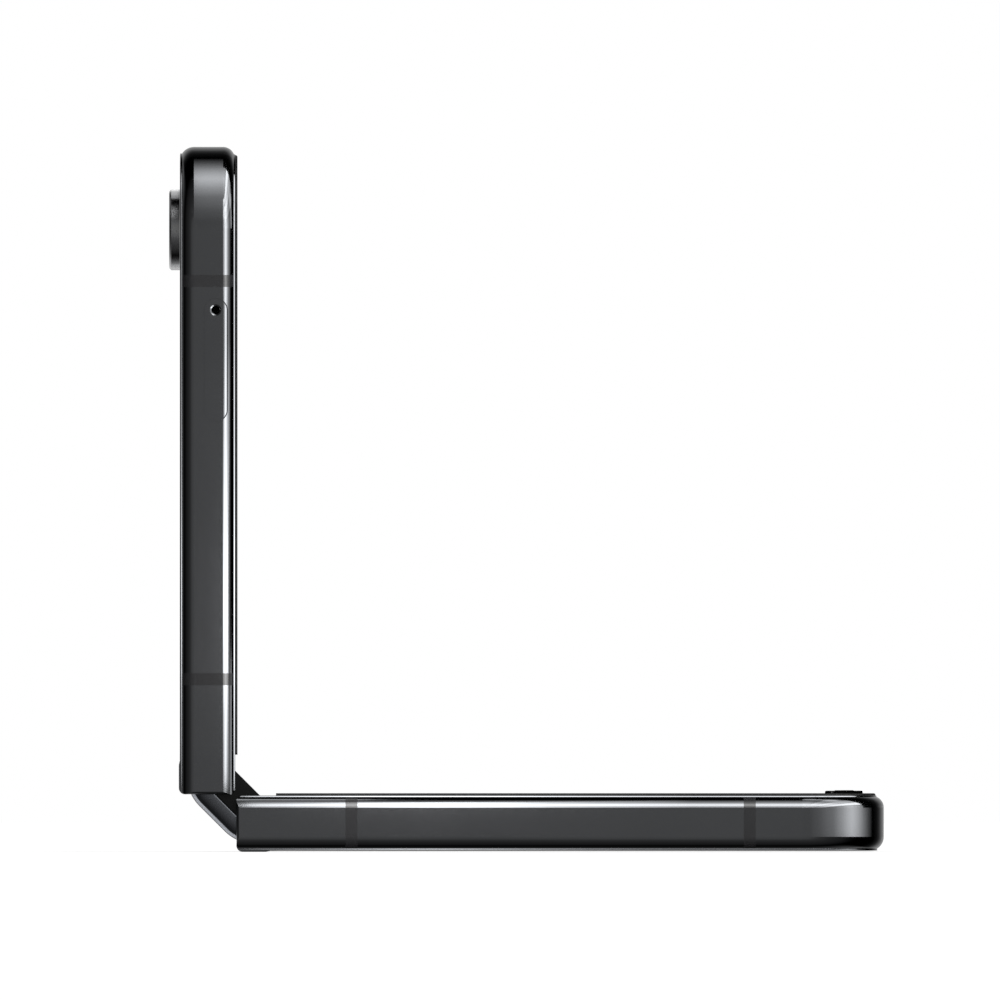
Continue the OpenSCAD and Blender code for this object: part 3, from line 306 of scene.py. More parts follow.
def spine_end_painted_light(g, place, colour, height, shader):
    """Painted highlights of a rim and of a line by the straight edge, and painted shade inwards, on
    the spine's two end faces.
    """
    x, _, z = g.axes(place)
    x, z = g.math("SUBTRACT", x, PIVOT[0] * MM), g.math("SUBTRACT", z, PIVOT[1] * MM)
    across = g.math("ADD", g.math("MULTIPLY", g.math("SUBTRACT", x, z), ROOT_HALF), PIVOT_V * MM)
    up = g.math("MULTIPLY", g.math("ADD", x, z), ROOT_HALF)
    beyond = g.math("SUBTRACT", g.math("ABSOLUTE", across), PIVOT_V * MM)
    beyond = g.math("MAXIMUM", beyond, 0.0)
    squares = g.math("ADD", g.math("MULTIPLY", beyond, beyond), g.math("MULTIPLY", up, up))
    inset = g.math("SUBTRACT", SPINE_R * MM, g.math("SQRT", squares))
    # painted highlight: a thin bright ring just inside the end face's outline
    painted_rim = g.math(
        "MULTIPLY", g.span(inset, *END_PAINTED_RIM_IN, 0.0, 1.0), g.span(inset, *END_PAINTED_RIM_OUT, 1.0, 0.0),
    )
    # painted highlight: a light line along the straight edge below the pivots
    edge = g.span(up, *END_PAINTED_LINE, 0.0, 1.0)
    lines = g.math(
        "ADD", g.math("MULTIPLY", painted_rim, END_PAINTED_RIM_GAIN), g.math("MULTIPLY", edge, END_PAINTED_LINE_GAIN),
    )
    # painted shade, darker near the outline and lighter inwards, with the painted highlights added
    # on top
    tone = g.math("ADD", g.span(inset, *END_SHADE, *END_TONES), lines)
    facing = g.axes(g.node("ShaderNodeTexCoord").outputs["Normal"])
    on_end = g.span(g.math("ABSOLUTE", facing[1]), *END_FACING, 0.0, 1.0)
    tone = g.math("ADD", 1.0, g.math("MULTIPLY", on_end, g.math("SUBTRACT", tone, 1.0)))
    return g.vector("MULTIPLY", colour, tone), height


def axis_distance(g, place, centres):
    """Distance from the nearest of the axes that run along X through (y, z)."""
    distances = []
    for y, z in centres:
        away = g.vector("SUBTRACT", place, (0, y * MM, z * MM))
        distances.append(g.vector("LENGTH", g.vector("MULTIPLY", away, (0, 1, 1))))
    return g.math("MINIMUM", *distances) if len(distances) > 1 else distances[0]


def grooves(centres, pitch):
    """Relief of fine rings about the axes, as a lathe or a fresnel mould leaves it."""
    def extra(g, place, colour, height, shader):
        run = g.math("ADD", axis_distance(g, place, centres), g.axes(place)[0])
        groove = g.math("SINE", g.math("MULTIPLY", run, 2 * math.pi / (pitch * MM)))
        return colour, g.math("ADD", g.math("MULTIPLY", groove, GROOVE_DEPTH), height)
    return extra


def lens_window(g, place, colour, height, shader):
    """Black print on the glass, with a fine grey line round the clear window of the lens."""
    away = axis_distance(g, place, RING_CENTRES)

    def from_radius(radius, near, far):
        return g.span(away, radius * MM, (radius + PRINT_EDGE) * MM, near, far)

    clear = from_radius(WINDOW_R, 1.0, 0.0)
    line = g.math(
        "MULTIPLY", from_radius(LINE_R, 0.0, 1.0), from_radius(LINE_R + LINE_WIDTH, 1.0, 0.0),
    )
    g.put(shader.inputs["Transmission Weight"], clear)
    return g.mix(clear, g.mix(line, colour, LINE_GREY), WINDOW_TINT), height


# ---------------------------------------------------------------- finishes
ANODISED = {"rough": (0.085, 0.125), "metal": 1.0, "grain": 9000, "cloud": 60, "depth": 0.002}
GRAPHITE = surface("graphite_anodised", (0.104, 0.107, 0.112), (0.116, 0.119, 0.124), **ANODISED)
# A darker copy of the frame's graphite for the back lips: painted shade that dims their
# reflections.
BACK_LIP_SHADED_GRAPHITE = surface(
    "graphite_back_lip_shaded", (0.084, 0.086, 0.090), (0.094, 0.096, 0.101), **ANODISED,
)
RESIN = surface(
    "band_resin", (0.0084, 0.0084, 0.0088), (0.0119, 0.0119, 0.0128),
    rough=(0.10, 0.15), ior=1.45, grain=7000, depth=0.003,
)
BACK_GLASS = surface(
    "back_glass_graphite", (0.012, 0.012, 0.013), (0.016, 0.016, 0.018),
    rough=(0.10, 0.14), coat=1.0, coat_rough=0.03, grain=6000, depth=0.001,
)
COVER_GLASS = surface(
    "cover_glass_black", (0.004, 0.004, 0.005), (0.006, 0.006, 0.008),
    rough=(0.05, 0.08), coat=1.0, coat_rough=0.02, grain=6000, depth=0.0006,
)
BEZEL = surface(
    "bezel_black", (0.003, 0.003, 0.003), (0.006, 0.006, 0.006),
    rough=(0.45, 0.58), ior=1.22, grain=5000, depth=0.006,
)
RUBBER = surface(
    "bumper_rubber", (0.002, 0.002, 0.002), (0.005, 0.005, 0.005),
    rough=(0.35, 0.45), ior=1.28, grain=4000, depth=0.006,
)
FILM = surface(
    "display_film", (0.0030, 0.0030, 0.0040), (0.0045, 0.0045, 0.0065),
    rough=(0.06, 0.09), coat=1.0, coat_rough=0.03, cloud=25, grain=3000, depth=0.0012,
)
CAP = surface(
    "cap_black", (0.0010, 0.0010, 0.0010), (0.0025, 0.0025, 0.0025),
    rough=(0.09, 0.13), ior=1.25, grain=6000, depth=0.003,
)
# The spine's end faces carry painted shade and painted highlights in this finish's colour.
SPINE = surface(
    "spine_graphite", (0.042, 0.044, 0.048), (0.054, 0.056, 0.061),
    rough=(0.13, 0.19), metal=1.0, grain=9000, depth=0.003, extra=spine_end_painted_light,
)
STEEL = surface(
    "sheet_steel", (0.42, 0.42, 0.43), (0.52, 0.52, 0.53),
    rough=(0.28, 0.40), metal=1.0, stretch=(1, 12, 12), grain=1500, depth=0.004,
)
GEAR_STEEL = surface(
    "gear_steel", (0.32, 0.32, 0.33), (0.42, 0.42, 0.43),
    rough=(0.30, 0.42), metal=1.0, grain=6000, depth=0.006,
)
SCREW_STEEL = surface(
    "screw_steel", (0.48, 0.48, 0.50), (0.58, 0.58, 0.60),
    rough=(0.22, 0.32), metal=1.0, grain=5000, depth=0.004,
)
POUCH = surface(
    "cell_wrap", (0.015, 0.015, 0.017), (0.024, 0.024, 0.027),
    rough=(0.30, 0.45), grain=1500, depth=0.02,
)
BOARD = surface(
    "board_mask", (0.006, 0.050, 0.028), (0.010, 0.075, 0.042),
    rough=(0.28, 0.38), grain=1500, cloud=700, depth=0.01,
)
MOULDED = surface(
    "moulded_black", (0.012, 0.012, 0.013), (0.020, 0.020, 0.022),
    rough=(0.40, 0.55), grain=3000, depth=0.01,
)
COPPER = surface(
    "coil_copper", (0.50, 0.22, 0.10), (0.62, 0.30, 0.15),
    rough=(0.28, 0.40), metal=1.0, grain=2500, depth=0.01,
)
GOLD = surface(
    "contact_gold", (0.62, 0.46, 0.18), (0.76, 0.58, 0.26),
    rough=(0.22, 0.32), metal=1.0, grain=4000, depth=0.004,
)
CARD = surface(
    "card_gold_on_white", (0.72, 0.50, 0.22), (0.80, 0.58, 0.28),
    rough=(0.24, 0.34), grain=3000, depth=0.002, extra=card_contacts,
)
FLASH = surface(
    "flash_diffuser", (0.62, 0.58, 0.40), (0.78, 0.74, 0.56),
    rough=(0.18, 0.28), coat=0.6, grain=1500, cloud=900, depth=0.05,
    extra=grooves(FLASH_CENTRE, 0.24),
)
RING = surface(
    "ring_turned", (0.255, 0.258, 0.263), (0.290, 0.293, 0.300),
    rough=(0.15, 0.21), metal=1.0, grain=5000, depth=0.003, extra=grooves(RING_CENTRES, 0.07),
)
BARREL = surface(
    "lens_barrel", (0.006, 0.006, 0.007), (0.012, 0.012, 0.013),
    rough=(0.25, 0.35), grain=4000, depth=0.04, extra=grooves(RING_CENTRES, 0.2),
)
LENS_COVER = surface(
    "lens_cover", (0.002, 0.002, 0.0025), (0.003, 0.003, 0.004),
    rough=(0.01, 0.02), coat_rough=0.01, grain=5000, depth=0.0, extra=lens_window,
)
LENS = surface(
    "lens_glass", (0.012, 0.008, 0.030), (0.010, 0.014, 0.034),
    rough=(0.02, 0.03), coat=0.3, coat_rough=0.01, ior=1.8, grain=2500, cloud=300, depth=0.0,
    film=430.0,
)

dress(GRAPHITE, "lower_frame", "upper_frame", "card_tray", "power_key", "volume_key")
dress(RESIN, "lower_antenna_bands", "upper_antenna_bands")
dress(BACK_GLASS, "lower_back_cover")
dress(COVER_GLASS, "cover_glass", "cover_display")
dress(BEZEL, "lower_bezel", "upper_bezel")
dress(RUBBER, "lower_bumpers")
dress(FILM, "lower_display", "upper_display", "fold_display")
dress(CAP, "hinge_end_caps", "usb_c_tongue")
dress(SPINE, "spine_cover")
dress(
    STEEL, "lower_support_plate", "upper_support_plate", "usb_c_shell", "vibration_motor",
    "shield_cans", "card_slot_cage", "key_switches",
)
dress(
    GEAR_STEEL, "lower_hinge_racks", "upper_hinge_racks", "hinge_bases", "spring_end_plates",
    "detent_blocks", "lower_pinions", "lower_idlers", "upper_idlers", "upper_pinions",
    "disc_springs",
)
dress(SCREW_STEEL, "lower_hinge_screws", "upper_hinge_screws", "hinge_base_screws")
dress(POUCH, "lower_battery", "upper_battery")
dress(BOARD, "sub_board", "main_board")
dress(MOULDED, "loudspeaker", "earpiece")
dress(BARREL, "camera_modules", "front_camera")
dress(COPPER, "charging_coil", "hinge_flex")
dress(CARD, "nano_card")
dress(GOLD, "lower_microphone", "upper_microphone", "usb_c_contacts")
dress(FLASH, "flash_lens")
dress(LENS_COVER, "camera_glasses")
dress(LENS, "camera_lenses")
dress(RING, "camera_rings")

# ---------------------------------------------------------------- fold of the display
# The sheets at the photographed pose, in the spine's (v, w): an arc about the spine's middle, and
# a straight run from its end. R is the arc's radius at the sheet's middle, and C its centre's w.
BEND_FROM, BEND_R, BEND_C = 2.88768, 3.74037, 2.40182
JOINT_V, JOINT_W = 2.64484, -0.24302
FOLD_HALF_LEN, FOLD_HALF_W = 5.0, HALF_W - DISPLAY_INSET
STUB = FOLD_HALF_LEN - BEND_FROM
FLEX_R, FLEX_C, FLEX_T, FLEX_HALF_W = 1.94, -2.77473, 0.12, 4.0
FLEX_FAR = (12.8783, 7.3600)
ARC_TURN = 45
FOLD_STEPS, STUB_STEPS, FLEX_STEPS, RUN_STEPS, STRIP_COLUMNS = 28, 6, 16, 12, 12
SOFT_EDGE, SHEET_SHARP = 0.09, 35


def arc(radius, centre, steps):
    """Points (v, w) of a sheet's arc, from the middle of the spine outwards."""
    angles = [math.radians(-90 + ARC_TURN * i / steps) for i in range(steps + 1)]
    return [(radius * math.cos(a), centre + radius * math.sin(a)) for a in angles]


def fold_profile(layer):
    """Points (v, w) of one side of the fold, from the spine's middle to the rigid display."""
    line = arc(BEND_R - layer, BEND_C, FOLD_STEPS)
    for i in range(1, STUB_STEPS + 1):
        run = STUB * i / STUB_STEPS
        line.append((JOINT_V + (run - layer) * ROOT_HALF, JOINT_W + (run + layer) * ROOT_HALF))
    return line


def flex_profile(layer):
    """Points (v, w) of one side of the flex, from the spine's middle over the frame's ledge."""
    line = arc(FLEX_R - layer, FLEX_C, FLEX_STEPS)
    start_v, start_w = line[-1]
    end_v, end_w = FLEX_FAR[0] - layer * ROOT_HALF, FLEX_FAR[1] + layer * ROOT_HALF
    for i in range(1, RUN_STEPS + 1):
        part = i / RUN_STEPS
        line.append((start_v + (end_v - start_v) * part, start_w + (end_w - start_w) * part))
    return line


def loop_quads(first, second, count):
    """Faces between two loops of `count` points that start at the given indices."""
    ring = [(j, (j + 1) % count) for j in range(count)]
    return [(first + j, first + n, second + n, second + j) for j, n in ring]


def tube_quads(loops, count):
    """Faces between the loops of a tube, each loop of `count` points."""
    starts = [k * count for k in range(loops)]
    return [quad for pair in zip(starts, starts[1:]) for quad in loop_quads(*pair, count)]


def bent_strip(side, profile, thickness, half_width):
    """One side of a sheet that crosses the fold, as a closed mesh with softened long edges."""
    edge, half_t, columns = min(SOFT_EDGE, thickness / 4), thickness / 2, STRIP_COLUMNS
    rims = [
        (-half_t, half_width - edge), (-half_t + edge, half_width),
        (half_t - edge, half_width), (half_t, half_width - edge),
    ]
    section = [(rims[0][0], rims[0][1] * (2 * i / columns - 1)) for i in range(columns + 1)]
    section += rims[1:3]
    section += [(rims[3][0], rims[3][1] * (1 - 2 * i / columns)) for i in range(columns + 1)]
    section += [(h, -y) for h, y in (rims[2], rims[1])]
    layers = {h: profile(h) for h, _ in section}
    count, width = len(section), len(layers[-half_t])
    points = [
        spine(side * layers[h][k][0], y, layers[h][k][1]) for k in range(width) for h, y in section
    ]
    faces = tube_quads(width, count)
    faces += [tuple(range(count))[::-1], tuple((width - 1) * count + j for j in range(count))]
    return points, faces if side < 0 else [face[::-1] for face in faces]


def fold_piece(name, side, shape, material, node_slot, node):
    """Half of a bending sheet, fixed where it lies at the photographed pose; it rides on no body.
    """
    made = mesh_piece(name, *bent_strip(side, *shape), material, node_slot)
    split_edges(made, SHEET_SHARP)
    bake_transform(made)
    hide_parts(node)


for side, body, word in ((1, "lower_half", "lower"), (-1, "upper_half", "upper")):
    fold_piece(
        f"fold_film_{word}", side, (fold_profile, SHEET_T, FOLD_HALF_W), FILM,
        "display_film", "fold_display",
    )
    fold_piece(
        f"fold_flex_{word}", side, (flex_profile, FLEX_T, FLEX_HALF_W), COPPER,
        "copper_coil", "hinge_flex",
    )


# ---------------------------------------------------------------- lips, front lens, earpiece mesh
CORNER_R, CORNER_STEPS = 10.5, 20
# Sections of the lips, as loops of (inset from the side wall, height), and their starts
LIP_FROM, BACK_LIP_FROM, LIP_SHARP = 0.5, 0.8, 50
LIP = [(1.0, 6.84), (0.905, 6.84), (0.93, 6.96), (0.95, 7.02), (0.975, 7.045), (1.0, 7.05)]
BACK_LIP = [(1.4, 0.28), (0.855, 0.28), (0.82, 0.12), (0.835, 0.07), (0.90, 0.03), (1.4, 0.015)]
# Front camera: its centre, and the loops of (radius, height) of its funnel and lens
FRONT_CAMERA, TURNED_STEPS, TURNED_SHARP = (HALF_LEN - 8.1, 0.0), 48, 40
FUNNEL = [
    (1.62, 6.48), (1.62, 6.60), (1.48, 6.60), (1.40, 6.56), (1.15, 6.56), (1.05, 6.52),
    (0.86, 6.52), (0.86, 6.48),
]
FRONT_LENS = [
    (0.001, 6.47), (0.85, 6.47), (0.85, 6.505), (0.74, 6.545), (0.55, 6.58), (0.30, 6.602),
    (0.001, 6.61),
]
# Place of the outer long wires of the earpiece's mesh, as a share of the slot's half width
WIRE_SPREAD = 0.6


def half_outline(start):
    """Stations round a half, from side wall to side wall: (s, y) and the way inwards."""
    corner_s, corner_y = HALF_LEN - CORNER_R, HALF_W - CORNER_R
    stations = [(start, -HALF_W, 0, 1)]
    for k in range(2 * CORNER_STEPS + 2):
        turn, step = (-1, k) if k <= CORNER_STEPS else (1, k - 1)
        a = math.radians(-90 + 90 * step / CORNER_STEPS)
        c, n = math.cos(a), math.sin(a)
        stations.append((corner_s + CORNER_R * c, turn * corner_y + CORNER_R * n, -c, -n))
    stations.append((start, HALF_W, 0, -1))
    return stations


def lip_piece(name, place, body, section, start, material):
    """A polished lip that runs round a half; its section is a loop of (inset, height)."""
    stations = half_outline(start)
    points = [place(s + ds * d, y + dy * d, z) for s, y, ds, dy in stations for d, z in section]
    count = len(section)
    last = (len(stations) - 1) * count
    faces = tube_quads(len(stations), count)
    faces += [tuple(range(count)), tuple(last + j for j in range(count))]
    split_edges(mesh_piece(name, points, faces, material, "frame_aluminium", body), LIP_SHARP)


def turned_piece(name, place, centre, profile, body, material, node_slot):
    """A piece turned about an axis towards the display; the profile is a loop of (r, z)."""
    count = len(profile)
    points, faces = [], []
    for i in range(TURNED_STEPS):
        a = 2 * math.pi * i / TURNED_STEPS
        c, n = math.cos(a), math.sin(a)
        points += [place(centre[0] + r * c, centre[1] + r * n, z) for r, z in profile]
        faces += loop_quads(i * count, (i + 1) % TURNED_STEPS * count, count)
    split_edges(mesh_piece(name, points, faces, material, node_slot, body), TURNED_SHARP)


def bar(points, faces, place, s, y, z):
    """Adds a bar between the given (low, high) pairs."""
    first = len(points)
    points += [place(s[i], y[j], z[k]) for i in (0, 1) for j in (0, 1) for k in (0, 1)]
    sides = ((0, 1, 3, 2), (4, 6, 7, 5), (0, 4, 5, 1), (2, 3, 7, 6), (0, 2, 6, 4), (1, 5, 7, 3))
    faces += [tuple(first + j for j in side) for side in sides]


def earpiece_mesh(s, half_run, half_wide, z, pitch, wire):
    """Grille of crossing wires in the earpiece's slot."""
    points, faces = [], []
    for i in range(-1, 2):
        at = s + i * half_wide * WIRE_SPREAD
        bar(points, faces, upper, (at - wire, at + wire), (-half_run, half_run), (z, z + 2 * wire))
    count = round(half_run / pitch)
    for i in range(-count, count + 1):
        at = i * pitch
        bar(
            points, faces, upper, (s - half_wide, s + half_wide), (at - wire, at + wire),
            (z + wire, z + 3 * wire),
        )
    mesh_piece("earpiece_mesh", points, faces, STEEL, "steel_sheet", "upper_half", smooth=False)


for place, body, word in ((lower, "lower_half", "lower"), (upper, "upper_half", "upper")):
    lip_piece(f"front_lip_{word}", place, body, LIP, LIP_FROM, GRAPHITE)
    lip_piece(f"back_lip_{word}", place, body, BACK_LIP, BACK_LIP_FROM, BACK_LIP_SHADED_GRAPHITE)
turned_piece(
    "front_lens_funnel", upper, FRONT_CAMERA, FUNNEL, "upper_half", BARREL, "speaker_housing",
)
turned_piece("front_lens", upper, FRONT_CAMERA, FRONT_LENS, "upper_half", LENS, "lens_glass")
earpiece_mesh(s=HALF_LEN - 2.6, half_run=5.4, half_wide=0.24, z=6.96, pitch=0.22, wire=0.03)


# ---------------------------------------------------------------- stage, light and camera
FLOOR_REACH, FLOOR_DROP = 6.0, 0.00002
FLOOR_COLOUR, FLOOR_GLOW = (0.8, 0.8, 0.8, 1), 0.70


def stage_floor():
    """Pale floor that takes the shadow; metal sees the studio beyond it instead."""
    size, low = FLOOR_REACH, cad_box[0].z - FLOOR_DROP
    data = bpy.data.meshes.new("floor")
    data.from_pydata(
        [(-size, -size, low), (size, -size, low), (size, size, low), (-size, size, low)],
        [], [(0, 1, 2, 3)],
    )
    made = bpy.data.objects.new("floor", data)
    bpy.context.scene.collection.objects.link(made)
    material = bpy.data.materials.new("floor_pale")
    material.use_nodes = True
    g = Graph(material.node_tree)
    out = g.node("ShaderNodeOutputMaterial")
    diffuse = g.node("ShaderNodeBsdfDiffuse")
    diffuse.inputs["Color"].default_value = FLOOR_COLOUR
    glow = g.node("ShaderNodeEmission")
    path = g.node("ShaderNodeLightPath")
    seen = g.math("MAXIMUM", path.outputs["Is Camera Ray"], path.outputs["Is Transmission Ray"])
    g.join(g.math("MULTIPLY", seen, FLOOR_GLOW), glow.inputs["Strength"])
    both = g.node("ShaderNodeAddShader")
    g.join(diffuse.outputs[0], both.inputs[0])
    g.join(glow.outputs[0], both.inputs[1])
    clear = g.node("ShaderNodeBsdfTransparent")
    shown = g.node("ShaderNodeMixShader")
    g.join(path.outputs["Is Glossy Ray"], shown.inputs[0])
    g.join(both.outputs[0], shown.inputs[1])
    g.join(clear.outputs[0], shown.inputs[2])
    g.join(shown.outputs[0], out.inputs["Surface"])
    data.materials.append(material)


# Studio levels in reflections, from the front (0) to behind the phone (1)
FRONT_LEVELS = [
    (0.0, 0.445), (0.017, 0.385), (0.058, 0.21), (0.146, 0.125), (0.273, 0.075), (0.44, 0.0),
]
BACK_SIDE = [
    *FRONT_LEVELS,
    (0.54, 0.06), (0.645, 0.25), (0.75, 0.50), (0.81, 1.0), (0.90, 1.0), (1.0, 1.0),
]
FAR_SIDE = [
    *FRONT_LEVELS,
    (0.75, 0.0), (0.835, 0.03), (0.883, 0.10), (0.929, 0.32), (0.97, 0.45), (1.0, 0.50),
]
SIDE_CHANGE, DIFFUSE_LEVEL = (-0.40, -0.10), (0.45, 0.45, 0.45)


def level_ramp(g, at, stops):
    ramp = g.node("ShaderNodeValToRGB")
    g.join(at, ramp.inputs[0])
    elements = ramp.color_ramp.elements
    while len(elements) < len(stops):
        elements.new(0.5)
    for element, (place, level) in zip(elements, stops):
        element.position = place
        element.color = (level, level, level, 1)
    return ramp.outputs[0]


def studio_world():
    """White behind the phone, mid-grey in front and dark to the sides, as metal sees it."""
    world = bpy.data.worlds.new("studio")
    bpy.context.scene.world = world
    world.use_nodes = True
    g = Graph(world.node_tree)
    out = g.node("ShaderNodeOutputWorld")
    back = g.node("ShaderNodeBackground")
    g.join(back.outputs[0], out.inputs["Surface"])
    x, y, z = g.axes(g.node("ShaderNodeTexCoord").outputs["Generated"])
    depth = g.span(y, -1, 1, 0, 1)
    far, back_side = (level_ramp(g, depth, stops) for stops in (FAR_SIDE, BACK_SIDE))
    level = g.mix(g.span(g.math("ADD", x, z), *SIDE_CHANGE, 0.0, 1.0), back_side, far)
    path = g.node("ShaderNodeLightPath")
    plain = g.math("MAXIMUM", path.outputs["Is Camera Ray"], path.outputs["Is Transmission Ray"])
    level = g.mix(path.outputs["Is Diffuse Ray"], level, DIFFUSE_LEVEL)
    g.join(g.mix(plain, level, (1, 1, 1)), back.inputs["Color"])


# Radiance of the lamps at angles off the front, in degrees, as the edges of the phone see them
STRIPS = [
    (4, 0.3), (9, 1.5), (14, 4.0), (20, 7.2), (26, 8.2), (32, 7.0), (38, 4.8), (44, 3.1),
    (52, 1.8), (64, 0.95), (77, 0.1),
]
ENDS = [
    (8, 0.0), (14, 0.18), (20, 0.3), (30, 0.66), (45, 1.08), (60, 2.35), (70, 3.5), (78, 4.1),
    (88, 3.1), (101, 1.3), (110, 0.45), (118, 0.05),
]
# The camera rings' upper ends mirror a light that stands behind the phone and above it.
RING_LIGHT = [((96, 112), 0.9), ((112, 138), 1.3), ((138, 168), 1.2)]
LAMP_STEP = 4
CORNER_SECTORS, CORNER_BANDS, CORNER_STEP, CORNER_GAIN, CORNER_SPREAD = 5, 16, 6, 1.2, 50
FAINTEST = 0.02
# Metres: the lit runs of the display-side edges (z of the upper half, x of the lower half), the
# middles of the far ends, the ring's light, and the lamps' distances and spans there
UPPER_RUN, LOWER_RUN = (0.0082, 0.0825), (-0.0402, 0.0345)
LOWER_END, UPPER_END_Z, END_SPAN = (0.0355, 0.0036), 0.0845, 0.0055
RING_Y, RING_RISE, RING_DISTANCE, RING_SPAN = 0.0177, 0.004, 0.12, 0.06
LAMP_DISTANCE = 0.06
# Millimetres: heights of the lit edge, the end's middle and the ring's middle over the back
EDGE_HEIGHT, END_HEIGHT, RING_HEIGHT = HALF_T - 0.7, 3.6, -1


def level_at(levels, angle):
    """The level at an angle, in a straight line between the listed ones and 0 outside them."""
    for (a0, v0), (a1, v1) in zip(levels, levels[1:]):
        if a0 <= angle <= a1:
            return v0 + (v1 - v0) * (angle - a0) / (a1 - a0)
    return 0.0


def lamp_bands(levels):
    """Short bands between the listed angles, as ((angle from, angle to), radiance)."""
    first, last = levels[0][0], levels[-1][0]
    count = math.ceil((last - first) / LAMP_STEP)
    cuts = [first + (last - first) * k / count for k in range(count + 1)]
    return [((low, high), level_at(levels, (low + high) / 2)) for low, high in zip(cuts, cuts[1:])]


def corner_level(angle, turn):
    """What a corner mirrors `angle` off the front and `turn` from the display side to the end."""
    a, t = math.radians(angle), math.radians(turn)
    sideways = math.degrees(math.asin(math.sin(a) * math.cos(t)))
    endways = math.degrees(math.atan2(math.sin(a) * math.sin(t), math.cos(a)))
    return max(level_at(STRIPS, sideways), level_at(ENDS, endways))


def sweep_lamp(name, edge, toward, along, span, angles, distance, radiance, spread=180, lit=None):
    """A lamp that an edge line sees between two angles off the front, turned towards `toward`."""
    middle = math.radians(sum(angles) / 2)
    width = 2 * distance * math.tan(math.radians(angles[1] - angles[0]) / 2)
    front = Vector((0, -1, 0))
    place = edge + distance * (math.cos(middle) * front + math.sin(middle) * toward)
    normal = (edge - place).normalized()
    across = normal.cross(along).normalized()
    data = bpy.data.lights.new(name, "AREA")
    data.shape = "RECTANGLE"
    data.size, data.size_y = width, span
    data.energy = radiance * math.pi * width * span
    if spread < 180:
        half = math.radians(spread / 2)
        data.spread = 2 * half
        data.energy *= 1 - half / math.tan(half)
    made = bpy.data.objects.new(name, data)
    made.matrix_world = Matrix((
        (across.x, along.x, -normal.x, place.x),
        (across.y, along.y, -normal.y, place.y),
        (across.z, along.z, -normal.z, place.z),
        (0, 0, 0, 1),
    ))
    made.visible_camera = False
    made.light_linking.receiver_collection = lit or EDGE_PIECES
    bpy.context.scene.collection.objects.link(made)


# What the edge lamps light: all but the broad faces, which would mirror them as bands.
EDGE_PIECES = bpy.data.collections.new("edge_pieces")
RINGS = bpy.data.collections.new("rings")
RINGS.objects.link(frame["nodes"]["camera_rings"])
BROAD_FACES = (
    "display", "bumpers", "cover_glass", "back_cover", "fold_film", "battery", "plate", "coil",
    "card_slot",
)
for piece in bpy.context.scene.objects:
    if piece.type == "MESH" and not any(word in piece.name for word in BROAD_FACES):
        EDGE_PIECES.objects.link(piece)


def corner_lamps(word, corner, side, end):
    """Short lamps for a far corner's edge, in sectors from the display side to the end."""
    half_sector = math.radians(45 / CORNER_SECTORS)
    for sector in range(CORNER_SECTORS):
        turn = (sector + 0.5) * 90 / CORNER_SECTORS
        t = math.radians(turn)
        toward = math.cos(t) * side + math.sin(t) * end
        along = math.sin(t) * side - math.cos(t) * end
        for k in range(CORNER_BANDS):
            angles = CORNER_STEP * (k + 0.5), CORNER_STEP * (k + 1.5)
            middle = CORNER_STEP * (k + 1)
            run = 2 * LAMP_DISTANCE * math.sin(math.radians(middle)) * math.tan(half_sector)
            shine = CORNER_GAIN * corner_level(middle, turn)
            if shine > FAINTEST:
                sweep_lamp(
                    f"{word}_corner_{sector}_{k}", corner, toward, along, run, angles,
                    LAMP_DISTANCE, shine, CORNER_SPREAD,
                )


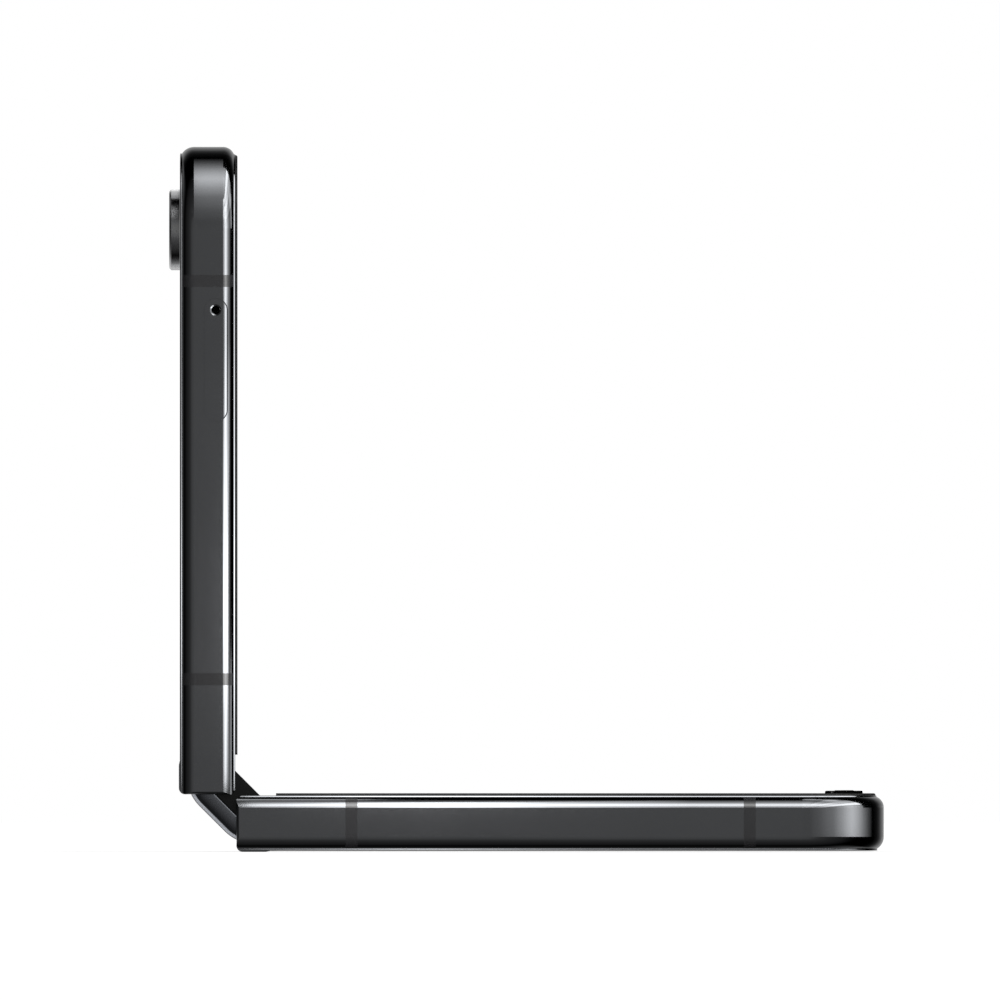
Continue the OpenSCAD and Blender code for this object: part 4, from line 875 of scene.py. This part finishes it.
def lamps():
    """Strips for the display-side edges, the far ends with their corners, and the camera rings."""
    right, top = Vector((1, 0, 0)), Vector((0, 0, 1))
    face, near = -HALF_W * MM, LAMP_DISTANCE
    edge_x, edge_z = upper(0, 0, EDGE_HEIGHT).x, EDGE_HEIGHT * MM
    (z0, z1), (x0, x1) = UPPER_RUN, LOWER_RUN
    upper_edge = Vector((edge_x, face, (z0 + z1) / 2))
    lower_edge = Vector(((x0 + x1) / 2, face, edge_z))
    for i, (angles, radiance) in enumerate(lamp_bands(STRIPS)):
        sweep_lamp(f"upper_strip_{i}", upper_edge, right, top, z1 - z0, angles, near, radiance)
        sweep_lamp(f"lower_strip_{i}", lower_edge, top, right, x1 - x0, angles, near, radiance)
    lower_end = Vector((LOWER_END[0], face, LOWER_END[1]))
    upper_end = Vector((upper(0, 0, END_HEIGHT).x, face, UPPER_END_Z))
    for i, (angles, radiance) in enumerate(lamp_bands(ENDS)):
        sweep_lamp(f"lower_end_{i}", lower_end, right, top, END_SPAN, angles, near, radiance)
        sweep_lamp(f"upper_end_{i}", upper_end, top, right, END_SPAN, angles, near, radiance)
    ring_top = Vector((upper(0, 0, RING_HEIGHT).x, RING_Y, RING_Z * MM + RING_RISE))
    for i, (angles, radiance) in enumerate(RING_LIGHT):
        name = f"ring_light_{i}"
        sweep_lamp(
            name, ring_top, top, right, RING_SPAN, angles, RING_DISTANCE, radiance, lit=RINGS,
        )
    corner_lamps("lower", Vector((x1, face, edge_z)), top, right)
    corner_lamps("upper", Vector((edge_x, face, z1)), right, top)


# The camera, in metres; the picture spans PICTURE_SPAN in the plane of the phone's side
SIDE_PLANE, EYE_DISTANCE = -0.036, 5.9
EYE = Vector((-0.0411, SIDE_PLANE - EYE_DISTANCE, 0.0071))
AIM = Vector((-0.00772, SIDE_PLANE, 0.04464))
SENSOR_WIDTH, PICTURE_SPAN, CLIP_END = 36, 0.1272, 50


def camera():
    """Looks square at the side from in line with the hinge, so that the far side stays hidden."""
    data = bpy.data.cameras.new("camera")
    data.sensor_width = SENSOR_WIDTH
    data.lens = SENSOR_WIDTH * (AIM - EYE).length / PICTURE_SPAN
    data.clip_end = CLIP_END
    made = bpy.data.objects.new("camera", data)
    made.location = EYE
    made.rotation_euler = (AIM - EYE).to_track_quat("-Z", "Y").to_euler()
    bpy.context.scene.collection.objects.link(made)
    bpy.context.scene.camera = made


stage_floor()
studio_world()
lamps()
camera()
bpy.context.scene.view_settings.view_transform = "Standard"
